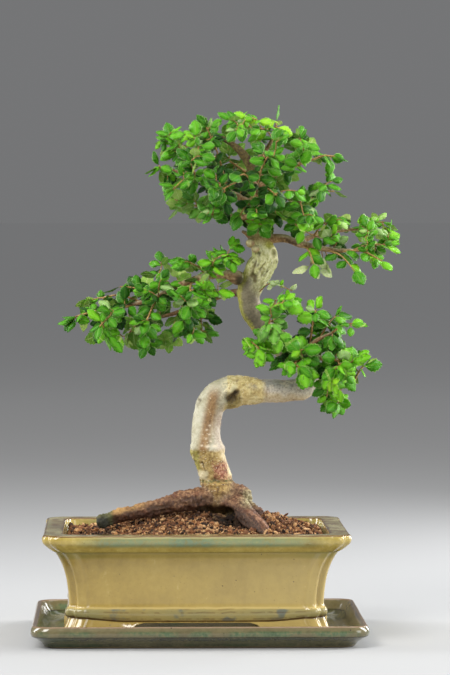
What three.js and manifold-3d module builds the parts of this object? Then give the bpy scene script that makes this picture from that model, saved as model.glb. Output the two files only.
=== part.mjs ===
// A Chinese elm bonsai in its glazed pot, standing in a drip tray.
// Millimetres, +Z up. The origin is the centre of the tray's underside.

import * as THREE from 'three';
import { mergeVertices } from 'three/addons/utils/BufferGeometryUtils.js';
import Module from 'manifold-3d';

const wasm = await Module();
wasm.setup();

// Driving dimensions of the pot and the tray
const GAP = 0.3;
const POT_X = -2.5;
const RIM_HALF = { x: 127.2, y: 98 };
const RIM_TOP = 92;
const LIP_HEIGHT = 14.5;
const BAND_HALF = 108.2;
const WAIST_HALF = 105.6;
const FOOT_HALF = 111;
const FOOT_INNER_HALF = 97;
const INNER_RIM_HALF = 109.7;
const POT_UNDERSIDE = 19.4;
const POT_FLOOR = 25.4;
const POT_CORNER = 15;
const DRAIN_RADIUS = 8;
const DRAIN_X = 52;
const DRAIN_SIDES = 10;
const FOOT_CORNER = { x: 50, y: 42 };
const TRAY_HALF = { x: 138.9, y: 111.7 };
const TRAY_BASE_HALF = 126.4;
const TRAY_HEIGHT = 18.6;
const TRAY_FLOOR = 5;
const TRAY_CORNER = 15;

// Driving dimensions of the soil, the tree and its leaves
const SOIL_EDGE = 84;
const SOIL_MOUND = 19;
const SOIL_CRUMB = 0.9;
const MOUND_X = 10;
const MOUND_REACH = { x: 80, y: 62 };
const TRUNK_SIDES = 10;
const TRUNK_STEPS = 34;
const ROOT_SIDES = 6;
const ROOT_STEPS = 5;
const BRANCH_SIDES = 4;
const SHOOT_SIDES = 3;
const SHOOT_STEPS = 2;
const LEAF_THICKNESS = 0.7;
const LEAF_LENGTH = 15;
const LEAF_WIDTH = 10.4;
const LEAF_SIZES = { min: 0.8, max: 1.1 };
const LEAF_START = 4.5;
const LEAF_SPACING = 6.7;
const SHOOT_RADIUS = 1.15;
const SHOOT_TAPER = 0.6;
const SHOOT_RISE = 0.1;
const TIP_LEAF = 9;
const SPRAY_SEED = 20261;

// Colours, roughness and metalness of the finishes
const finish = (color, roughness) => new THREE.MeshStandardMaterial({ color, roughness, metalness: 0 });
const POT_GLAZE = finish('#b29b5a', 0.25);
const TRAY_GLAZE = finish('#69644b', 0.25);
const SOIL = finish('#6e4b3c', 0.95);
const BARK = finish('#b8a684', 0.85);
const LEAF = finish('#3d7a28', 0.5);
const SCREEN = finish('#20221f', 0.6);

const vec = (x, y, z) => new THREE.Vector3(x, y, z);
const lerp = THREE.MathUtils.lerp;

// A repeatable stream of numbers from 0 to 1
function seededRandom(seed) {
  let state = seed;
  return () => {
    state = (state + 0x6d2b79f5) | 0;
    let mixed = Math.imul(state ^ (state >>> 15), 1 | state);
    mixed = (mixed + Math.imul(mixed ^ (mixed >>> 7), 61 | mixed)) ^ mixed;
    return ((mixed ^ (mixed >>> 14)) >>> 0) / 4294967296;
  };
}

// A closed geometry as a solid, with shared vertices merged and faces turned outwards
function solidOf(geometry) {
  const bare = geometry.clone();
  bare.deleteAttribute('normal');
  bare.deleteAttribute('uv');
  const merged = mergeVertices(bare, 1e-3);
  const position = merged.attributes.position;
  const index = merged.index.array;
  const corners = [vec(0, 0, 0), vec(0, 0, 0), vec(0, 0, 0)];
  const faces = [];
  let volume = 0;
  for (let i = 0; i < index.length; i += 3) {
    const [a, b, c] = index.slice(i, i + 3);
    if (a === b || b === c || c === a) continue;
    corners.forEach((corner, k) => corner.fromBufferAttribute(position, index[i + k]));
    volume += corners[0].dot(corners[1].cross(corners[2]));
    faces.push(a, b, c);
  }
  if (volume < 0) faces.reverse();
  return new wasm.Manifold(new wasm.Mesh({
    numProp: 3,
    vertProperties: new Float32Array(position.array),
    triVerts: new Uint32Array(faces),
  }));
}

function geometryOf(solid) {
  const mesh = solid.getMesh();
  const geometry = new THREE.BufferGeometry();
  geometry.setAttribute('position', new THREE.BufferAttribute(mesh.vertProperties, 3));
  geometry.setIndex(new THREE.BufferAttribute(mesh.triVerts, 1));
  geometry.computeVertexNormals();
  return geometry;
}

const joined = (solids) => wasm.Manifold.union(solids);

// A join or cut is worked out at once, so that long chains of them don't pile up
function worked(solid) {
  solid.numTri();
  return solid;
}

// The largest of a solid's separate shells: it leaves out loose scraps and fills sealed hollows
function largestBody(solid) {
  return solid.decompose().reduce((best, body) => (body.volume() > best.volume() ? body : best));
}

const part = new THREE.Group();

function addPiece(name, solid, material) {
  const mesh = new THREE.Mesh(geometryOf(solid), material);
  mesh.name = name;
  part.add(mesh);
}

// Rectangular ware. A lathe is squared: each of its rings becomes a rectangle with round corners.
// A ring's rib, from 0 to 1, draws the corner into two ribs with a groove between them.
const CORNER_STEPS = 4;
const CORNER_POINTS = CORNER_STEPS + 3;
const GROOVE_DEPTH = 0.24;
const COVE_DEPTH = 1.3;
const COVE_RUN = 3;

function cornerPoint(ring, k) {
  const radius = Math.min(ring.corner, ring.x, ring.y);
  const cove = COVE_DEPTH * ring.rib;
  if (k === 0) return [ring.x - cove, ring.y - radius - COVE_RUN];
  if (k === CORNER_POINTS - 1) return [ring.x - radius - COVE_RUN, ring.y - cove];
  const angle = ((k - 1) / CORNER_STEPS) * (Math.PI / 2);
  const groove = k - 1 === CORNER_STEPS / 2 ? GROOVE_DEPTH * ring.rib : 0;
  const reach = radius * (1 - groove);
  return [ring.x - radius + reach * Math.cos(angle), ring.y - radius + reach * Math.sin(angle)];
}

function ringPoint(ring, station) {
  const quarter = Math.floor(station / CORNER_POINTS) % 4;
  const k = station % CORNER_POINTS;
  if (ring.x === 0) return [0, 0];
  const [x, y] = cornerPoint(ring, quarter % 2 ? CORNER_POINTS - 1 - k : k);
  return [quarter === 1 || quarter === 2 ? -x : x, quarter > 1 ? -y : y];
}

function squaredLathe(rings, centreX) {
  const profile = rings.map((ring) => new THREE.Vector2(ring.x, 0));
  const stations = 4 * CORNER_POINTS;
  const lathe = new THREE.LatheGeometry(profile, stations);
  const position = lathe.attributes.position;
  for (let i = 0; i < position.count; i += 1) {
    const ring = rings[i % rings.length];
    const station = Math.floor(i / rings.length) % stations;
    const [x, y] = ringPoint(ring, station);
    const z = typeof ring.z === 'function' ? ring.z(x + centreX, y) : ring.z;
    position.setXYZ(i, x + centreX, y, z);
  }
  return solidOf(lathe);
}

// Drip tray: a low dish with a rolled lip, a step under it and sides that taper to a flat base
function dripTray() {
  const slimmer = TRAY_HALF.x - TRAY_HALF.y;
  const ring = (x, z, corner = TRAY_CORNER) => ({ x, y: x - slimmer, z, corner, rib: 0 });
  const centre = (z) => ({ x: 0, y: 0, z, corner: 0, rib: 0 });
  return squaredLathe([
    centre(0),
    ring(TRAY_BASE_HALF, 0),
    ring(TRAY_HALF.x - 5, 7.6),
    ring(TRAY_HALF.x - 0.8, 10),
    ring(TRAY_HALF.x, 13),
    ring(TRAY_HALF.x - 2.4, TRAY_HEIGHT),
    ring(TRAY_HALF.x - 5, TRAY_HEIGHT - 0.4),
    ring(TRAY_HALF.x - 10, 9, TRAY_CORNER - 3),
    ring(TRAY_HALF.x - 15, TRAY_FLOOR, TRAY_CORNER - 4),
    centre(TRAY_FLOOR),
  ], 0);
}

// Pot: concave sides under a broad flat rim, a base moulding and a foot at each corner
const POT_SLIMMER = RIM_HALF.x - RIM_HALF.y;
const potRing = (x, z, rib = 0, corner = POT_CORNER) => ({ x, y: x - POT_SLIMMER, z, corner, rib });
const POT_INSIDE = [
  potRing(INNER_RIM_HALF, RIM_TOP - 1.5),
  potRing(INNER_RIM_HALF - 4, 74),
  potRing(WAIST_HALF - 7, 45),
  potRing(WAIST_HALF - 12, POT_FLOOR),
];

// The foot ring is cut away under each side, which leaves the corner feet
function footGap(length, across) {
  const rise = POT_UNDERSIDE - TRAY_FLOOR - 1;
  const arch = new THREE.Shape();
  arch.moveTo(-length / 2, -rise);
  arch.lineTo(length / 2, -rise);
  arch.lineTo(length / 2 - rise, rise);
  arch.lineTo(rise - length / 2, rise);
  const gap = new THREE.ExtrudeGeometry(arch, { depth: across, bevelEnabled: false });
  gap.translate(0, 0, -across / 2);
  gap.rotateX(Math.PI / 2);
  return gap;
}

function pot() {
  const body = squaredLathe([
    { x: 0, y: 0, z: POT_UNDERSIDE, corner: 0, rib: 0 },
    potRing(FOOT_INNER_HALF, POT_UNDERSIDE, 0, POT_CORNER - 4),
    potRing(FOOT_INNER_HALF + 1, TRAY_FLOOR + GAP, 0, POT_CORNER - 4),
    potRing(FOOT_HALF, TRAY_FLOOR + GAP, 0.8),
    potRing(FOOT_HALF - 1.6, 14.5, 0.8),
    potRing(WAIST_HALF + 0.7, 21.5, 0.8),
    potRing(BAND_HALF, 24, 0.8),
    potRing(BAND_HALF, 29, 0.8),
    potRing(WAIST_HALF, 32, 1),
    potRing(WAIST_HALF + 0.9, 46, 1),
    potRing(WAIST_HALF + 3.4, 60, 1),
    potRing(WAIST_HALF + 8, 71.5, 0.9),
    potRing(RIM_HALF.x - 10.6, RIM_TOP - LIP_HEIGHT - 1.2, 0.7),
    potRing(RIM_HALF.x - 7.4, RIM_TOP - LIP_HEIGHT + 0.8, 0.6),
    potRing(RIM_HALF.x, RIM_TOP - 6.4, 0.5),
    potRing(RIM_HALF.x - 0.2, RIM_TOP - 2.5, 0.5),
    potRing(RIM_HALF.x - 2.2, RIM_TOP, 0.3),
    potRing(INNER_RIM_HALF + 1.8, RIM_TOP),
    ...POT_INSIDE,
    { x: 0, y: 0, z: POT_FLOOR, corner: 0, rib: 0 },
  ], POT_X);
  const front = footGap(2 * (FOOT_HALF - FOOT_CORNER.x), 2 * RIM_HALF.y);
  front.translate(POT_X, 0, TRAY_FLOOR);
  const side = footGap(2 * (FOOT_HALF - POT_SLIMMER - FOOT_CORNER.y), 2 * RIM_HALF.x);
  side.rotateZ(Math.PI / 2);
  side.translate(POT_X, 0, TRAY_FLOOR);
  let ware = body.subtract(solidOf(front)).subtract(solidOf(side));
  for (const end of [-1, 1]) {
    const drain = new THREE.CylinderGeometry(DRAIN_RADIUS, DRAIN_RADIUS, 4 * POT_UNDERSIDE, DRAIN_SIDES);
    drain.rotateX(Math.PI / 2);
    drain.translate(POT_X + end * DRAIN_X, 0, POT_FLOOR);
    ware = ware.subtract(solidOf(drain));
  }
  return ware;
}

// Drain mesh: a square plastic screen over each drain hole, woven of crossing bars
const SCREEN_SIDE = 28;
const SCREEN_THICKNESS = 1.2;
const SCREEN_BAR = 9;
const SCREEN_BARS = 2;

function drainMesh(end) {
  const bars = [];
  for (let i = 0; i < SCREEN_BARS; i += 1) {
    const offset = (i / (SCREEN_BARS - 1) - 0.5) * (SCREEN_SIDE - SCREEN_BAR);
    for (const turned of [false, true]) {
      const bar = new THREE.BoxGeometry(SCREEN_SIDE, SCREEN_BAR, SCREEN_THICKNESS);
      bar.translate(0, offset, POT_FLOOR + GAP + SCREEN_THICKNESS / 2);
      if (turned) bar.rotateZ(Math.PI / 2);
      bar.translate(POT_X + end * DRAIN_X, 0, 0);
      bars.push(solidOf(bar));
    }
  }
  return joined(bars);
}

// Wood. A cylinder is bent along a curve: its rings follow the curve and take its thickness there.
// Thickness comes as pairs of a place along the curve, from 0 to 1, and a radius.
function radiusAlong(pairs, t) {
  const next = pairs.findIndex(([place]) => place >= t);
  if (next <= 0) return pairs[Math.max(next, 0)][1];
  const [startPlace, startRadius] = pairs[next - 1];
  const [endPlace, endRadius] = pairs[next];
  return lerp(startRadius, endRadius, (t - startPlace) / (endPlace - startPlace));
}

function limbGeometry(points, radii, sides, steps, grow = 0, relief = () => 1) {
  const curve = new THREE.CatmullRomCurve3(points.map(([x, y, z]) => vec(x, y, z)));
  const frames = curve.computeFrenetFrames(steps, false);
  const limb = new THREE.CylinderGeometry(1, 1, 1, sides, steps);
  const position = limb.attributes.position;
  for (let i = 0; i < position.count; i += 1) {
    const row = Math.round((position.getY(i) + 0.5) * steps);
    const t = row / steps;
    const angle = Math.atan2(position.getZ(i), position.getX(i));
    const reach = Math.hypot(position.getX(i), position.getZ(i));
    const radius = reach * (radiusAlong(radii, t) * relief(angle, t) + grow);
    const place = curve.getPointAt(t);
    place.addScaledVector(frames.normals[row], radius * Math.cos(angle));
    place.addScaledVector(frames.binormals[row], radius * Math.sin(angle));
    position.setXYZ(i, place.x, place.y, place.z);
  }
  return limb;
}

// Trunk line from under the soil up through the low bend, the long turn and the burl to the crown
const TRUNK_LINE = [
  [19, 2, 84], [18.5, 1, 104], [17, 0, 125], [12, 0, 141], [8, 0, 157], [7, 2, 176], [10, 3, 192],
  [17, 3, 200.5], [27, 3, 204.5], [37, 2, 205.5], [47, 0, 205.3], [58, -2, 205.8], [73, -5, 206],
  [87, -7, 208], [94, -6, 217], [87, 0, 230], [71, 6, 242], [56, 10, 257], [46, 12, 273],
  [43, 12, 285], [46, 12, 295], [52, 11, 307], [57, 10, 317], [53, 8, 329], [50, 7, 340],
  [48, 6, 356], [47, 4, 375], [45, 2, 393],
  [35, 0, 408], [20, 0, 419],
];
const TRUNK_RADII = [
  [0, 19], [0.04, 18.5], [0.075, 16], [0.1, 13.4], [0.14, 13], [0.165, 13.4], [0.19, 12.3],
  [0.23, 11.9], [0.265, 12.8], [0.3, 13.8], [0.325, 12], [0.35, 10.5], [0.4, 9.6], [0.44, 9.6],
  [0.5, 9], [0.6, 8.8], [0.64, 9.4], [0.665, 9.1], [0.69, 10], [0.717, 12], [0.743, 10.8],
  [0.771, 8.4], [0.797, 6.9], [0.833, 6], [0.876, 5.2], [0.92, 4.3], [0.96, 3.3], [1, 2],
];

// Roots, thickest at the trunk, and the ends that go down into the soil
const ROOTS = {
  left: {
    points: [
      [14, -2, 112], [-4, -13, 115], [-19, -20, 113], [-41, -25, 108], [-66, -28, 103], [-82, -30, 97],
    ],
    radii: [[0, 11], [0.2, 9], [0.45, 7.2], [0.8, 5.6], [1, 4.4]],
  },
  frontRight: {
    points: [[20, -4, 110], [34, -17, 107], [44, -38, 99], [53, -58, 92], [60, -70, 82]],
    radii: [[0, 12], [0.3, 9], [0.7, 6.8], [1, 4]],
  },
  right: {
    points: [[22, 2, 112], [38, 0, 108], [50, 1, 102], [60, 4, 92]],
    radii: [[0, 11], [0.5, 6.5], [0.8, 5.2], [1, 3.6]],
  },
  back: {
    points: [[16, 6, 108], [8, 26, 104], [-4, 44, 97], [-14, 58, 86]],
    radii: [[0, 11], [0.4, 7.5], [0.8, 5.5], [1, 3.5]],
  },
  backRight: {
    points: [[20, 4, 108], [36, 20, 102], [50, 34, 95], [62, 44, 84]],
    radii: [[0, 10], [0.4, 7], [0.8, 5], [1, 3.5]],
  },
};

// Branches that the sprays grow from
const BRANCHES = {
  left: {
    points: [
      [45, 12, 296], [28, 8, 303], [12, 4, 303], [-15, -2, 295], [-40, -8, 283], [-62, -12, 277],
      [-82, -14, 270],
    ],
    radii: [[0, 4.6], [0.25, 3.4], [0.6, 2.4], [1, 1.5]],
  },
  leftBack: {
    points: [[45, 12, 288], [26, 20, 287], [4, 26, 279], [-20, 26, 270], [-44, 24, 264]],
    radii: [[0, 4], [0.3, 2.8], [1, 1.4]],
  },
  right: {
    points: [[53, 9, 333], [73, 3, 334], [84, -2, 330], [97, -6, 327], [115, -9, 324], [130, -12, 324]],
    radii: [[0, 4.4], [0.3, 3.4], [0.7, 2.6], [1, 1.8]],
  },
  rightBack: {
    points: [[84, -2, 330], [98, 8, 336], [118, 18, 340], [138, 22, 342]],
    radii: [[0, 2.8], [0.5, 2], [1, 1.4]],
  },
  low: {
    points: [[90, -4, 222], [86, -20, 231], [88, -36, 240], [98, -46, 250], [110, -50, 256]],
    radii: [[0, 5], [0.3, 3.4], [0.7, 2.4], [1, 1.5]],
  },
  lowRight: {
    points: [[88, -30, 237], [104, -34, 234], [120, -34, 226], [130, -34, 216]],
    radii: [[0, 3], [0.5, 2], [1, 1.4]],
  },
  lowLeft: {
    points: [[88, -36, 240], [76, -40, 250], [66, -38, 262], [62, -34, 272]],
    radii: [[0, 2.8], [0.5, 2], [1, 1.4]],
  },
  crownLeft: {
    points: [[49, 6, 360], [36, -4, 368], [16, -10, 377], [-4, -12, 385], [-20, -10, 391]],
    radii: [[0, 3.6], [0.4, 2.6], [1, 1.4]],
  },
  crownLowLeft: {
    points: [[49, 8, 344], [36, 6, 350], [18, 10, 355], [0, 14, 361]],
    radii: [[0, 3.2], [0.4, 2.2], [1, 1.4]],
  },
  crownRight: {
    points: [[47, 4, 372], [60, -2, 384], [78, -6, 394], [96, -8, 400]],
    radii: [[0, 3.4], [0.4, 2.4], [1, 1.4]],
  },
  crownLowRight: {
    points: [[49, 7, 348], [62, 10, 357], [80, 14, 364], [98, 14, 369]],
    radii: [[0, 3.2], [0.4, 2.2], [1, 1.4]],
  },
  crownBack: {
    points: [[48, 5, 366], [48, 20, 378], [44, 36, 388], [36, 48, 394]],
    radii: [[0, 3.2], [0.4, 2.2], [1, 1.4]],
  },
  crownFront: {
    points: [[49, 5, 362], [50, -12, 371], [48, -28, 379], [42, -42, 384]],
    radii: [[0, 3.2], [0.4, 2.2], [1, 1.4]],
  },
  crownTop: {
    points: [[45, 2, 392], [54, 4, 404], [62, 4, 416], [66, 2, 426]],
    radii: [[0, 2.6], [0.5, 2], [1, 1.3]],
  },
};

// Cut-off stubs and swellings where branches were taken off
const STUBS = [
  { points: [[30, -4, 118], [37, -6, 118], [43, -7, 116]], radii: [[0, 9], [0.6, 7], [1, 4.5]] },
  { points: [[40, -6, 112], [48, -12, 106], [53, -15, 104]], radii: [[0, 5], [1, 3.2]] },
  { points: [[50, 6, 350], [38, -4, 352], [30, -8, 350]], radii: [[0, 3.2], [1, 2]] },
];

const barkLobes = (angle, t) => 1 + 0.05 * Math.sin(3 * angle + 9 * t) + 0.04 * Math.sin(5 * angle - 17 * t);
const rootLobes = (angle, t) => 1 + 0.07 * Math.sin(3 * angle + 6 * t);

function rootSolids(grow) {
  return Object.values(ROOTS).map(({ points, radii }) => (
    solidOf(limbGeometry(points, radii, ROOT_SIDES, ROOT_STEPS, grow, rootLobes))
  ));
}

function branchSolids(grow) {
  return Object.values(BRANCHES).map(({ points, radii }) => (
    solidOf(limbGeometry(points, radii, BRANCH_SIDES, points.length, grow))
  ));
}

function stubSolids(grow) {
  return STUBS.map(({ points, radii }) => solidOf(limbGeometry(points, radii, ROOT_SIDES, 1, grow)));
}

function trunkSolid(grow) {
  return solidOf(limbGeometry(TRUNK_LINE, TRUNK_RADII, TRUNK_SIDES, TRUNK_STEPS, grow, barkLobes));
}

function ball(x, y, z, radius, stretch) {
  const sphere = new THREE.SphereGeometry(radius, 7, 5);
  sphere.scale(...stretch);
  sphere.translate(x, y, z);
  return solidOf(sphere);
}

// The hollow on the inside of the low bend, and the eye of the burl
const HOLLOW = { at: [29, -9, 202], radius: 4.6, stretch: [1, 1.5, 1.25] };
const BURL_EYE = { at: [64, 4, 324], radius: 5.5, stretch: [1.1, 0.9, 1.7] };

function tree() {
  const burl = ball(...BURL_EYE.at, BURL_EYE.radius, BURL_EYE.stretch);
  const hollow = ball(...HOLLOW.at, HOLLOW.radius, HOLLOW.stretch);
  const wood = joined([trunkSolid(0), burl, ...rootSolids(0), ...branchSolids(0), ...stubSolids(0)]);
  return largestBody(wood.subtract(hollow));
}

const grownTree = worked(joined([
  trunkSolid(GAP),
  ball(...BURL_EYE.at, BURL_EYE.radius + GAP, BURL_EYE.stretch),
  ...rootSolids(GAP),
  ...branchSolids(GAP),
  ...stubSolids(GAP),
]));

// Soil: a bed inside the pot, heaped round the roots, with a crumbly relief
function soilHeight(x, y) {
  const across = Math.exp(-(((x - MOUND_X) / MOUND_REACH.x) ** 4));
  const along = Math.exp(-((y / MOUND_REACH.y) ** 2));
  const crumb = Math.sin(x * 0.31 + 2 * Math.sin(y * 0.17)) + Math.sin(y * 0.37 + 1.3 * Math.sin(x * 0.23));
  return SOIL_EDGE + SOIL_MOUND * across * along + SOIL_CRUMB * crumb;
}

function soil() {
  const inner = (z) => {
    const upper = POT_INSIDE.find((ring, i) => POT_INSIDE[i + 1] && POT_INSIDE[i + 1].z <= z);
    const lower = POT_INSIDE[POT_INSIDE.indexOf(upper) + 1];
    return lerp(lower.x, upper.x, (z - lower.z) / (upper.z - lower.z)) - 2 * GAP;
  };
  const wall = (z) => potRing(inner(z), z);
  const bottom = potRing(WAIST_HALF - 12 - 2 * GAP, POT_FLOOR + GAP);
  const edge = potRing(inner(SOIL_EDGE), soilHeight);
  const inward = [0.84, 0.62, 0.36];
  const top = inward.map((share) => ({
    x: edge.x * share,
    y: edge.y * share,
    z: soilHeight,
    corner: POT_CORNER * 2 * share,
    rib: 0,
  }));
  const bed = squaredLathe([
    { x: 0, y: 0, z: POT_FLOOR + GAP, corner: 0, rib: 0 },
    bottom,
    wall(POT_INSIDE[2].z),
    wall(POT_INSIDE[1].z),
    edge,
    ...top,
    { x: 0, y: 0, z: soilHeight, corner: 0, rib: 0 },
  ], POT_X);
  const screens = [-1, 1].map((end) => {
    const side = SCREEN_SIDE + 2 * GAP;
    const pocket = new THREE.BoxGeometry(side, side, 2 * (SCREEN_THICKNESS + GAP));
    pocket.translate(POT_X + end * DRAIN_X, 0, POT_FLOOR + GAP);
    return solidOf(pocket);
  });
  const buried = joined([trunkSolid(GAP), ...rootSolids(GAP), ...stubSolids(GAP), ...screens]);
  return largestBody(bed.subtract(buried));
}

// Leaf: an eight-sided disc whose rim is drawn out to a toothed oval, folded along its rib and arched.
// Shares of the half width and of the length, from the base to the tip along one edge.
const LEAF_EDGE = [[0.96, 0.36], [0.8, 0.47], [0.68, 0.8]];
const LEAF_MIDDLE = 0.42;
const LEAF_FOLD = 0.28;
const LEAF_ARCH = 0.16;
const LEAF_CORNERS = 2 * (LEAF_EDGE.length + 1);

function leafRim(k) {
  const tip = LEAF_CORNERS / 2;
  if (k === 0) return [0, 0];
  if (k === tip) return [0, 1];
  const [x, y] = LEAF_EDGE[k < tip ? k - 1 : LEAF_CORNERS - k - 1];
  return [k < tip ? x : -x, y];
}

function leafGeometry(length, width, thickness) {
  const disc = new THREE.CylinderGeometry(1, 1, thickness, LEAF_CORNERS, 1);
  const position = disc.attributes.position;
  const half = width / 2;
  for (let i = 0; i < position.count; i += 1) {
    const onRim = Math.hypot(position.getX(i), position.getZ(i)) > 0.5;
    const turn = Math.atan2(position.getX(i), position.getZ(i)) / (2 * Math.PI);
    const k = (Math.round(turn * LEAF_CORNERS) + LEAF_CORNERS) % LEAF_CORNERS;
    const [x, y] = onRim ? leafRim(k) : [0, LEAF_MIDDLE];
    const lift = LEAF_FOLD * Math.abs(x) * half - LEAF_ARCH * length * y * y;
    position.setXYZ(i, x * half, y * length, lift + position.getY(i));
  }
  return disc;
}

// A leaf whose foot stands at a place, whose length runs along `ahead` and whose face looks to `face`
function leafSolid(foot, ahead, face, size, room = 0) {
  const [length, width] = [LEAF_LENGTH * size, LEAF_WIDTH * size];
  const leaf = leafGeometry(length + room, width + 2 * room, LEAF_THICKNESS + 2 * room);
  const across = ahead.clone().cross(face).normalize();
  const normal = across.clone().cross(ahead).normalize();
  leaf.applyMatrix4(new THREE.Matrix4().makeBasis(across, ahead, normal).setPosition(foot));
  return solidOf(leaf);
}

// Sprays: the branch each one grows from, the place along it, and the point that its last leaf reaches
const SPRAYS = {
  left_tip: ['left', 1, [-112, -16, 268]],
  left_front_outer: ['left', 0.8, [-88, -46, 258]],
  left_back_outer: ['left', 0.74, [-90, 18, 284]],
  left_upper_outer: ['left', 0.66, [-74, -2, 296]],
  left_front_middle: ['left', 0.6, [-46, -46, 262]],
  left_upper: ['left', 0.52, [-42, 2, 308]],
  left_front_inner: ['left', 0.4, [-8, -40, 274]],
  left_upper_inner: ['left', 0.3, [-12, -10, 318]],
  left_lower: ['leftBack', 1, [-68, 34, 243]],
  left_lower_middle: ['leftBack', 0.7, [-26, 46, 240]],
  left_lower_inner: ['leftBack', 0.5, [4, 0, 248]],
  right_tip: ['right', 1, [166, -14, 330]],
  right_front: ['right', 0.75, [134, -44, 304]],
  right_front_outer: ['right', 0.9, [160, -38, 314]],
  right_inner: ['right', 0.5, [98, -36, 309]],
  right_back_tip: ['rightBack', 1, [167, 22, 350]],
  right_back_upper: ['rightBack', 0.6, [124, 40, 357]],
  right_upper: ['rightBack', 0.3, [112, -10, 353]],
  low_front: ['low', 1, [134, -60, 268]],
  low_upper: ['low', 0.7, [98, -60, 284]],
  low_upper_right: ['low', 0.85, [120, -26, 276]],
  low_middle: ['low', 0.5, [76, -72, 226]],
  low_right: ['lowRight', 1, [143, -32, 236]],
  low_right_front: ['lowRight', 0.5, [118, -70, 230]],
  low_drooping: ['lowRight', 0.8, [114, -44, 190]],
  low_left: ['lowLeft', 1, [66, -32, 292]],
  low_left_front: ['lowLeft', 0.8, [54, -64, 264]],
  low_left_outer: ['lowLeft', 0.55, [38, -44, 244]],
  crown_left_tip: ['crownLeft', 1, [-42, -14, 394]],
  crown_left_upper: ['crownLeft', 0.75, [-26, 4, 424]],
  crown_left_front: ['crownLeft', 0.6, [-12, -46, 386]],
  crown_left_top: ['crownLeft', 0.4, [4, -10, 436]],
  crown_left_low: ['crownLeft', 0.8, [-26, -38, 372]],
  crown_low_left: ['crownLowLeft', 1, [-24, 22, 360]],
  crown_low_front: ['crownLowLeft', 0.6, [8, -22, 352]],
  crown_right_tip: ['crownRight', 1, [124, -10, 404]],
  crown_right_upper: ['crownRight', 0.7, [90, 6, 426]],
  crown_right_front: ['crownRight', 0.55, [88, -42, 396]],
  crown_right_back: ['crownRight', 0.8, [104, 28, 408]],
  crown_low_right_tip: ['crownLowRight', 1, [124, 18, 376]],
  crown_low_right: ['crownLowRight', 0.65, [92, -20, 356]],
  crown_low_right_front: ['crownLowRight', 0.85, [112, -18, 382]],
  crown_back: ['crownBack', 1, [26, 68, 398]],
  crown_back_right: ['crownBack', 0.6, [74, 50, 386]],
  crown_back_left: ['crownBack', 0.75, [0, 44, 408]],
  crown_front: ['crownFront', 1, [30, -68, 388]],
  crown_front_right: ['crownFront', 0.6, [70, -48, 368]],
  crown_front_left: ['crownFront', 0.8, [12, -56, 374]],
  crown_front_upper: ['crownFront', 0.7, [60, -54, 410]],
  crown_front_low: ['crownFront', 0.4, [30, -36, 348]],
  crown_top: ['crownTop', 1, [66, 4, 440]],
  crown_top_left: ['crownTop', 0.5, [34, -2, 440]],
  crown_top_front: ['crownTop', 0.8, [48, -30, 428]],
};

// The middle of each pad of foliage, which its leaves face away from
const PAD_CENTRES = {
  left: vec(-38, -2, 270),
  right: vec(124, 0, 325),
  low: vec(94, -30, 240),
  crown: vec(42, 2, 385),
};

const UP = vec(0, 0, 1);

// Where a shoot meets its branch: just inside the branch's skin, where the shoot is then cut to fit it,
// or on the branch's end where the shoot carries it on
const SEAT_SHARE = 0.72;

function seatOn(branch, place, tip) {
  const { points, radii } = BRANCHES[branch];
  const curve = new THREE.CatmullRomCurve3(points.map(([x, y, z]) => vec(x, y, z)));
  const base = curve.getPointAt(place);
  const ahead = curve.getTangentAt(place);
  const aim = tip.clone().sub(base).normalize();
  const straight = aim.dot(ahead);
  if (place === 1) return base.addScaledVector(ahead, GAP + SHOOT_RADIUS * Math.sqrt(1 - straight ** 2));
  const outwards = aim.addScaledVector(ahead, -straight).normalize();
  const skin = SEAT_SHARE * radiusAlong(radii, place) + SHOOT_RADIUS * Math.abs(straight);
  return base.addScaledVector(outwards, skin);
}

// The shoot of a spray leaves its branch, arches a little and ends at its tip
function shootPoints([branch, place, tip]) {
  const reach = vec(...tip);
  const start = seatOn(branch, place, reach);
  const end = reach.clone().lerp(start, TIP_LEAF / reach.distanceTo(start));
  const rise = start.distanceTo(end) * SHOOT_RISE;
  return [start, start.clone().lerp(end, 0.5).addScaledVector(UP, rise), end];
}

const touches = (box, other) => [0, 1, 2].every((axis) => (
  box.min[axis] < other.max[axis] && box.max[axis] > other.min[axis]
));
const crosses = (solid, other) => (
  touches(solid.boundingBox(), other.boundingBox()) && !solid.intersect(other).isEmpty()
);

// The stem of each spray comes first, so that no leaf crosses the stem of another spray
const stems = {};
for (const [name, spray] of Object.entries(SPRAYS)) {
  const points = shootPoints(spray);
  const radii = [[0, SHOOT_RADIUS], [1, SHOOT_RADIUS * SHOOT_TAPER]];
  let solid = solidOf(limbGeometry(points.map((point) => point.toArray()), radii, SHOOT_SIDES, SHOOT_STEPS));
  for (const other of [grownTree, ...Object.values(stems).map((stem) => stem.solid)]) {
    if (crosses(solid, other)) solid = largestBody(solid.subtract(other));
  }
  stems[name] = { solid, curve: new THREE.CatmullRomCurve3(points) };
}

// A leaf's foot is sunk into the shoot. Its wider copy, moved out of the shoot, has to be clear.
// The face looks up and outwards. A leaf droops, and each direction strays a little.
const LEAF_FOOT = 0.3;
const CLEAR_STEP = 1.4;
const TIP_SINK = 1.2;
const FACE_OUTWARD = 1.3;
const FACE_STRAY = 0.9;
const DROOP = 0.35;
const DROOP_STRAY = 0.5;
const SPREAD = 1.1;
const SPREAD_STRAY = 0.3;
const TIP_STRAY = 0.6;
const TRY_LIFT = 0.6;

// Turns and tilts that a leaf tries one after the other until it is clear
const TRIES = [[0, 0], [0.35, 0.25], [-0.35, -0.3], [0.7, 0.5], [-0.6, -0.6], [0.2, 0.9]];

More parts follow.
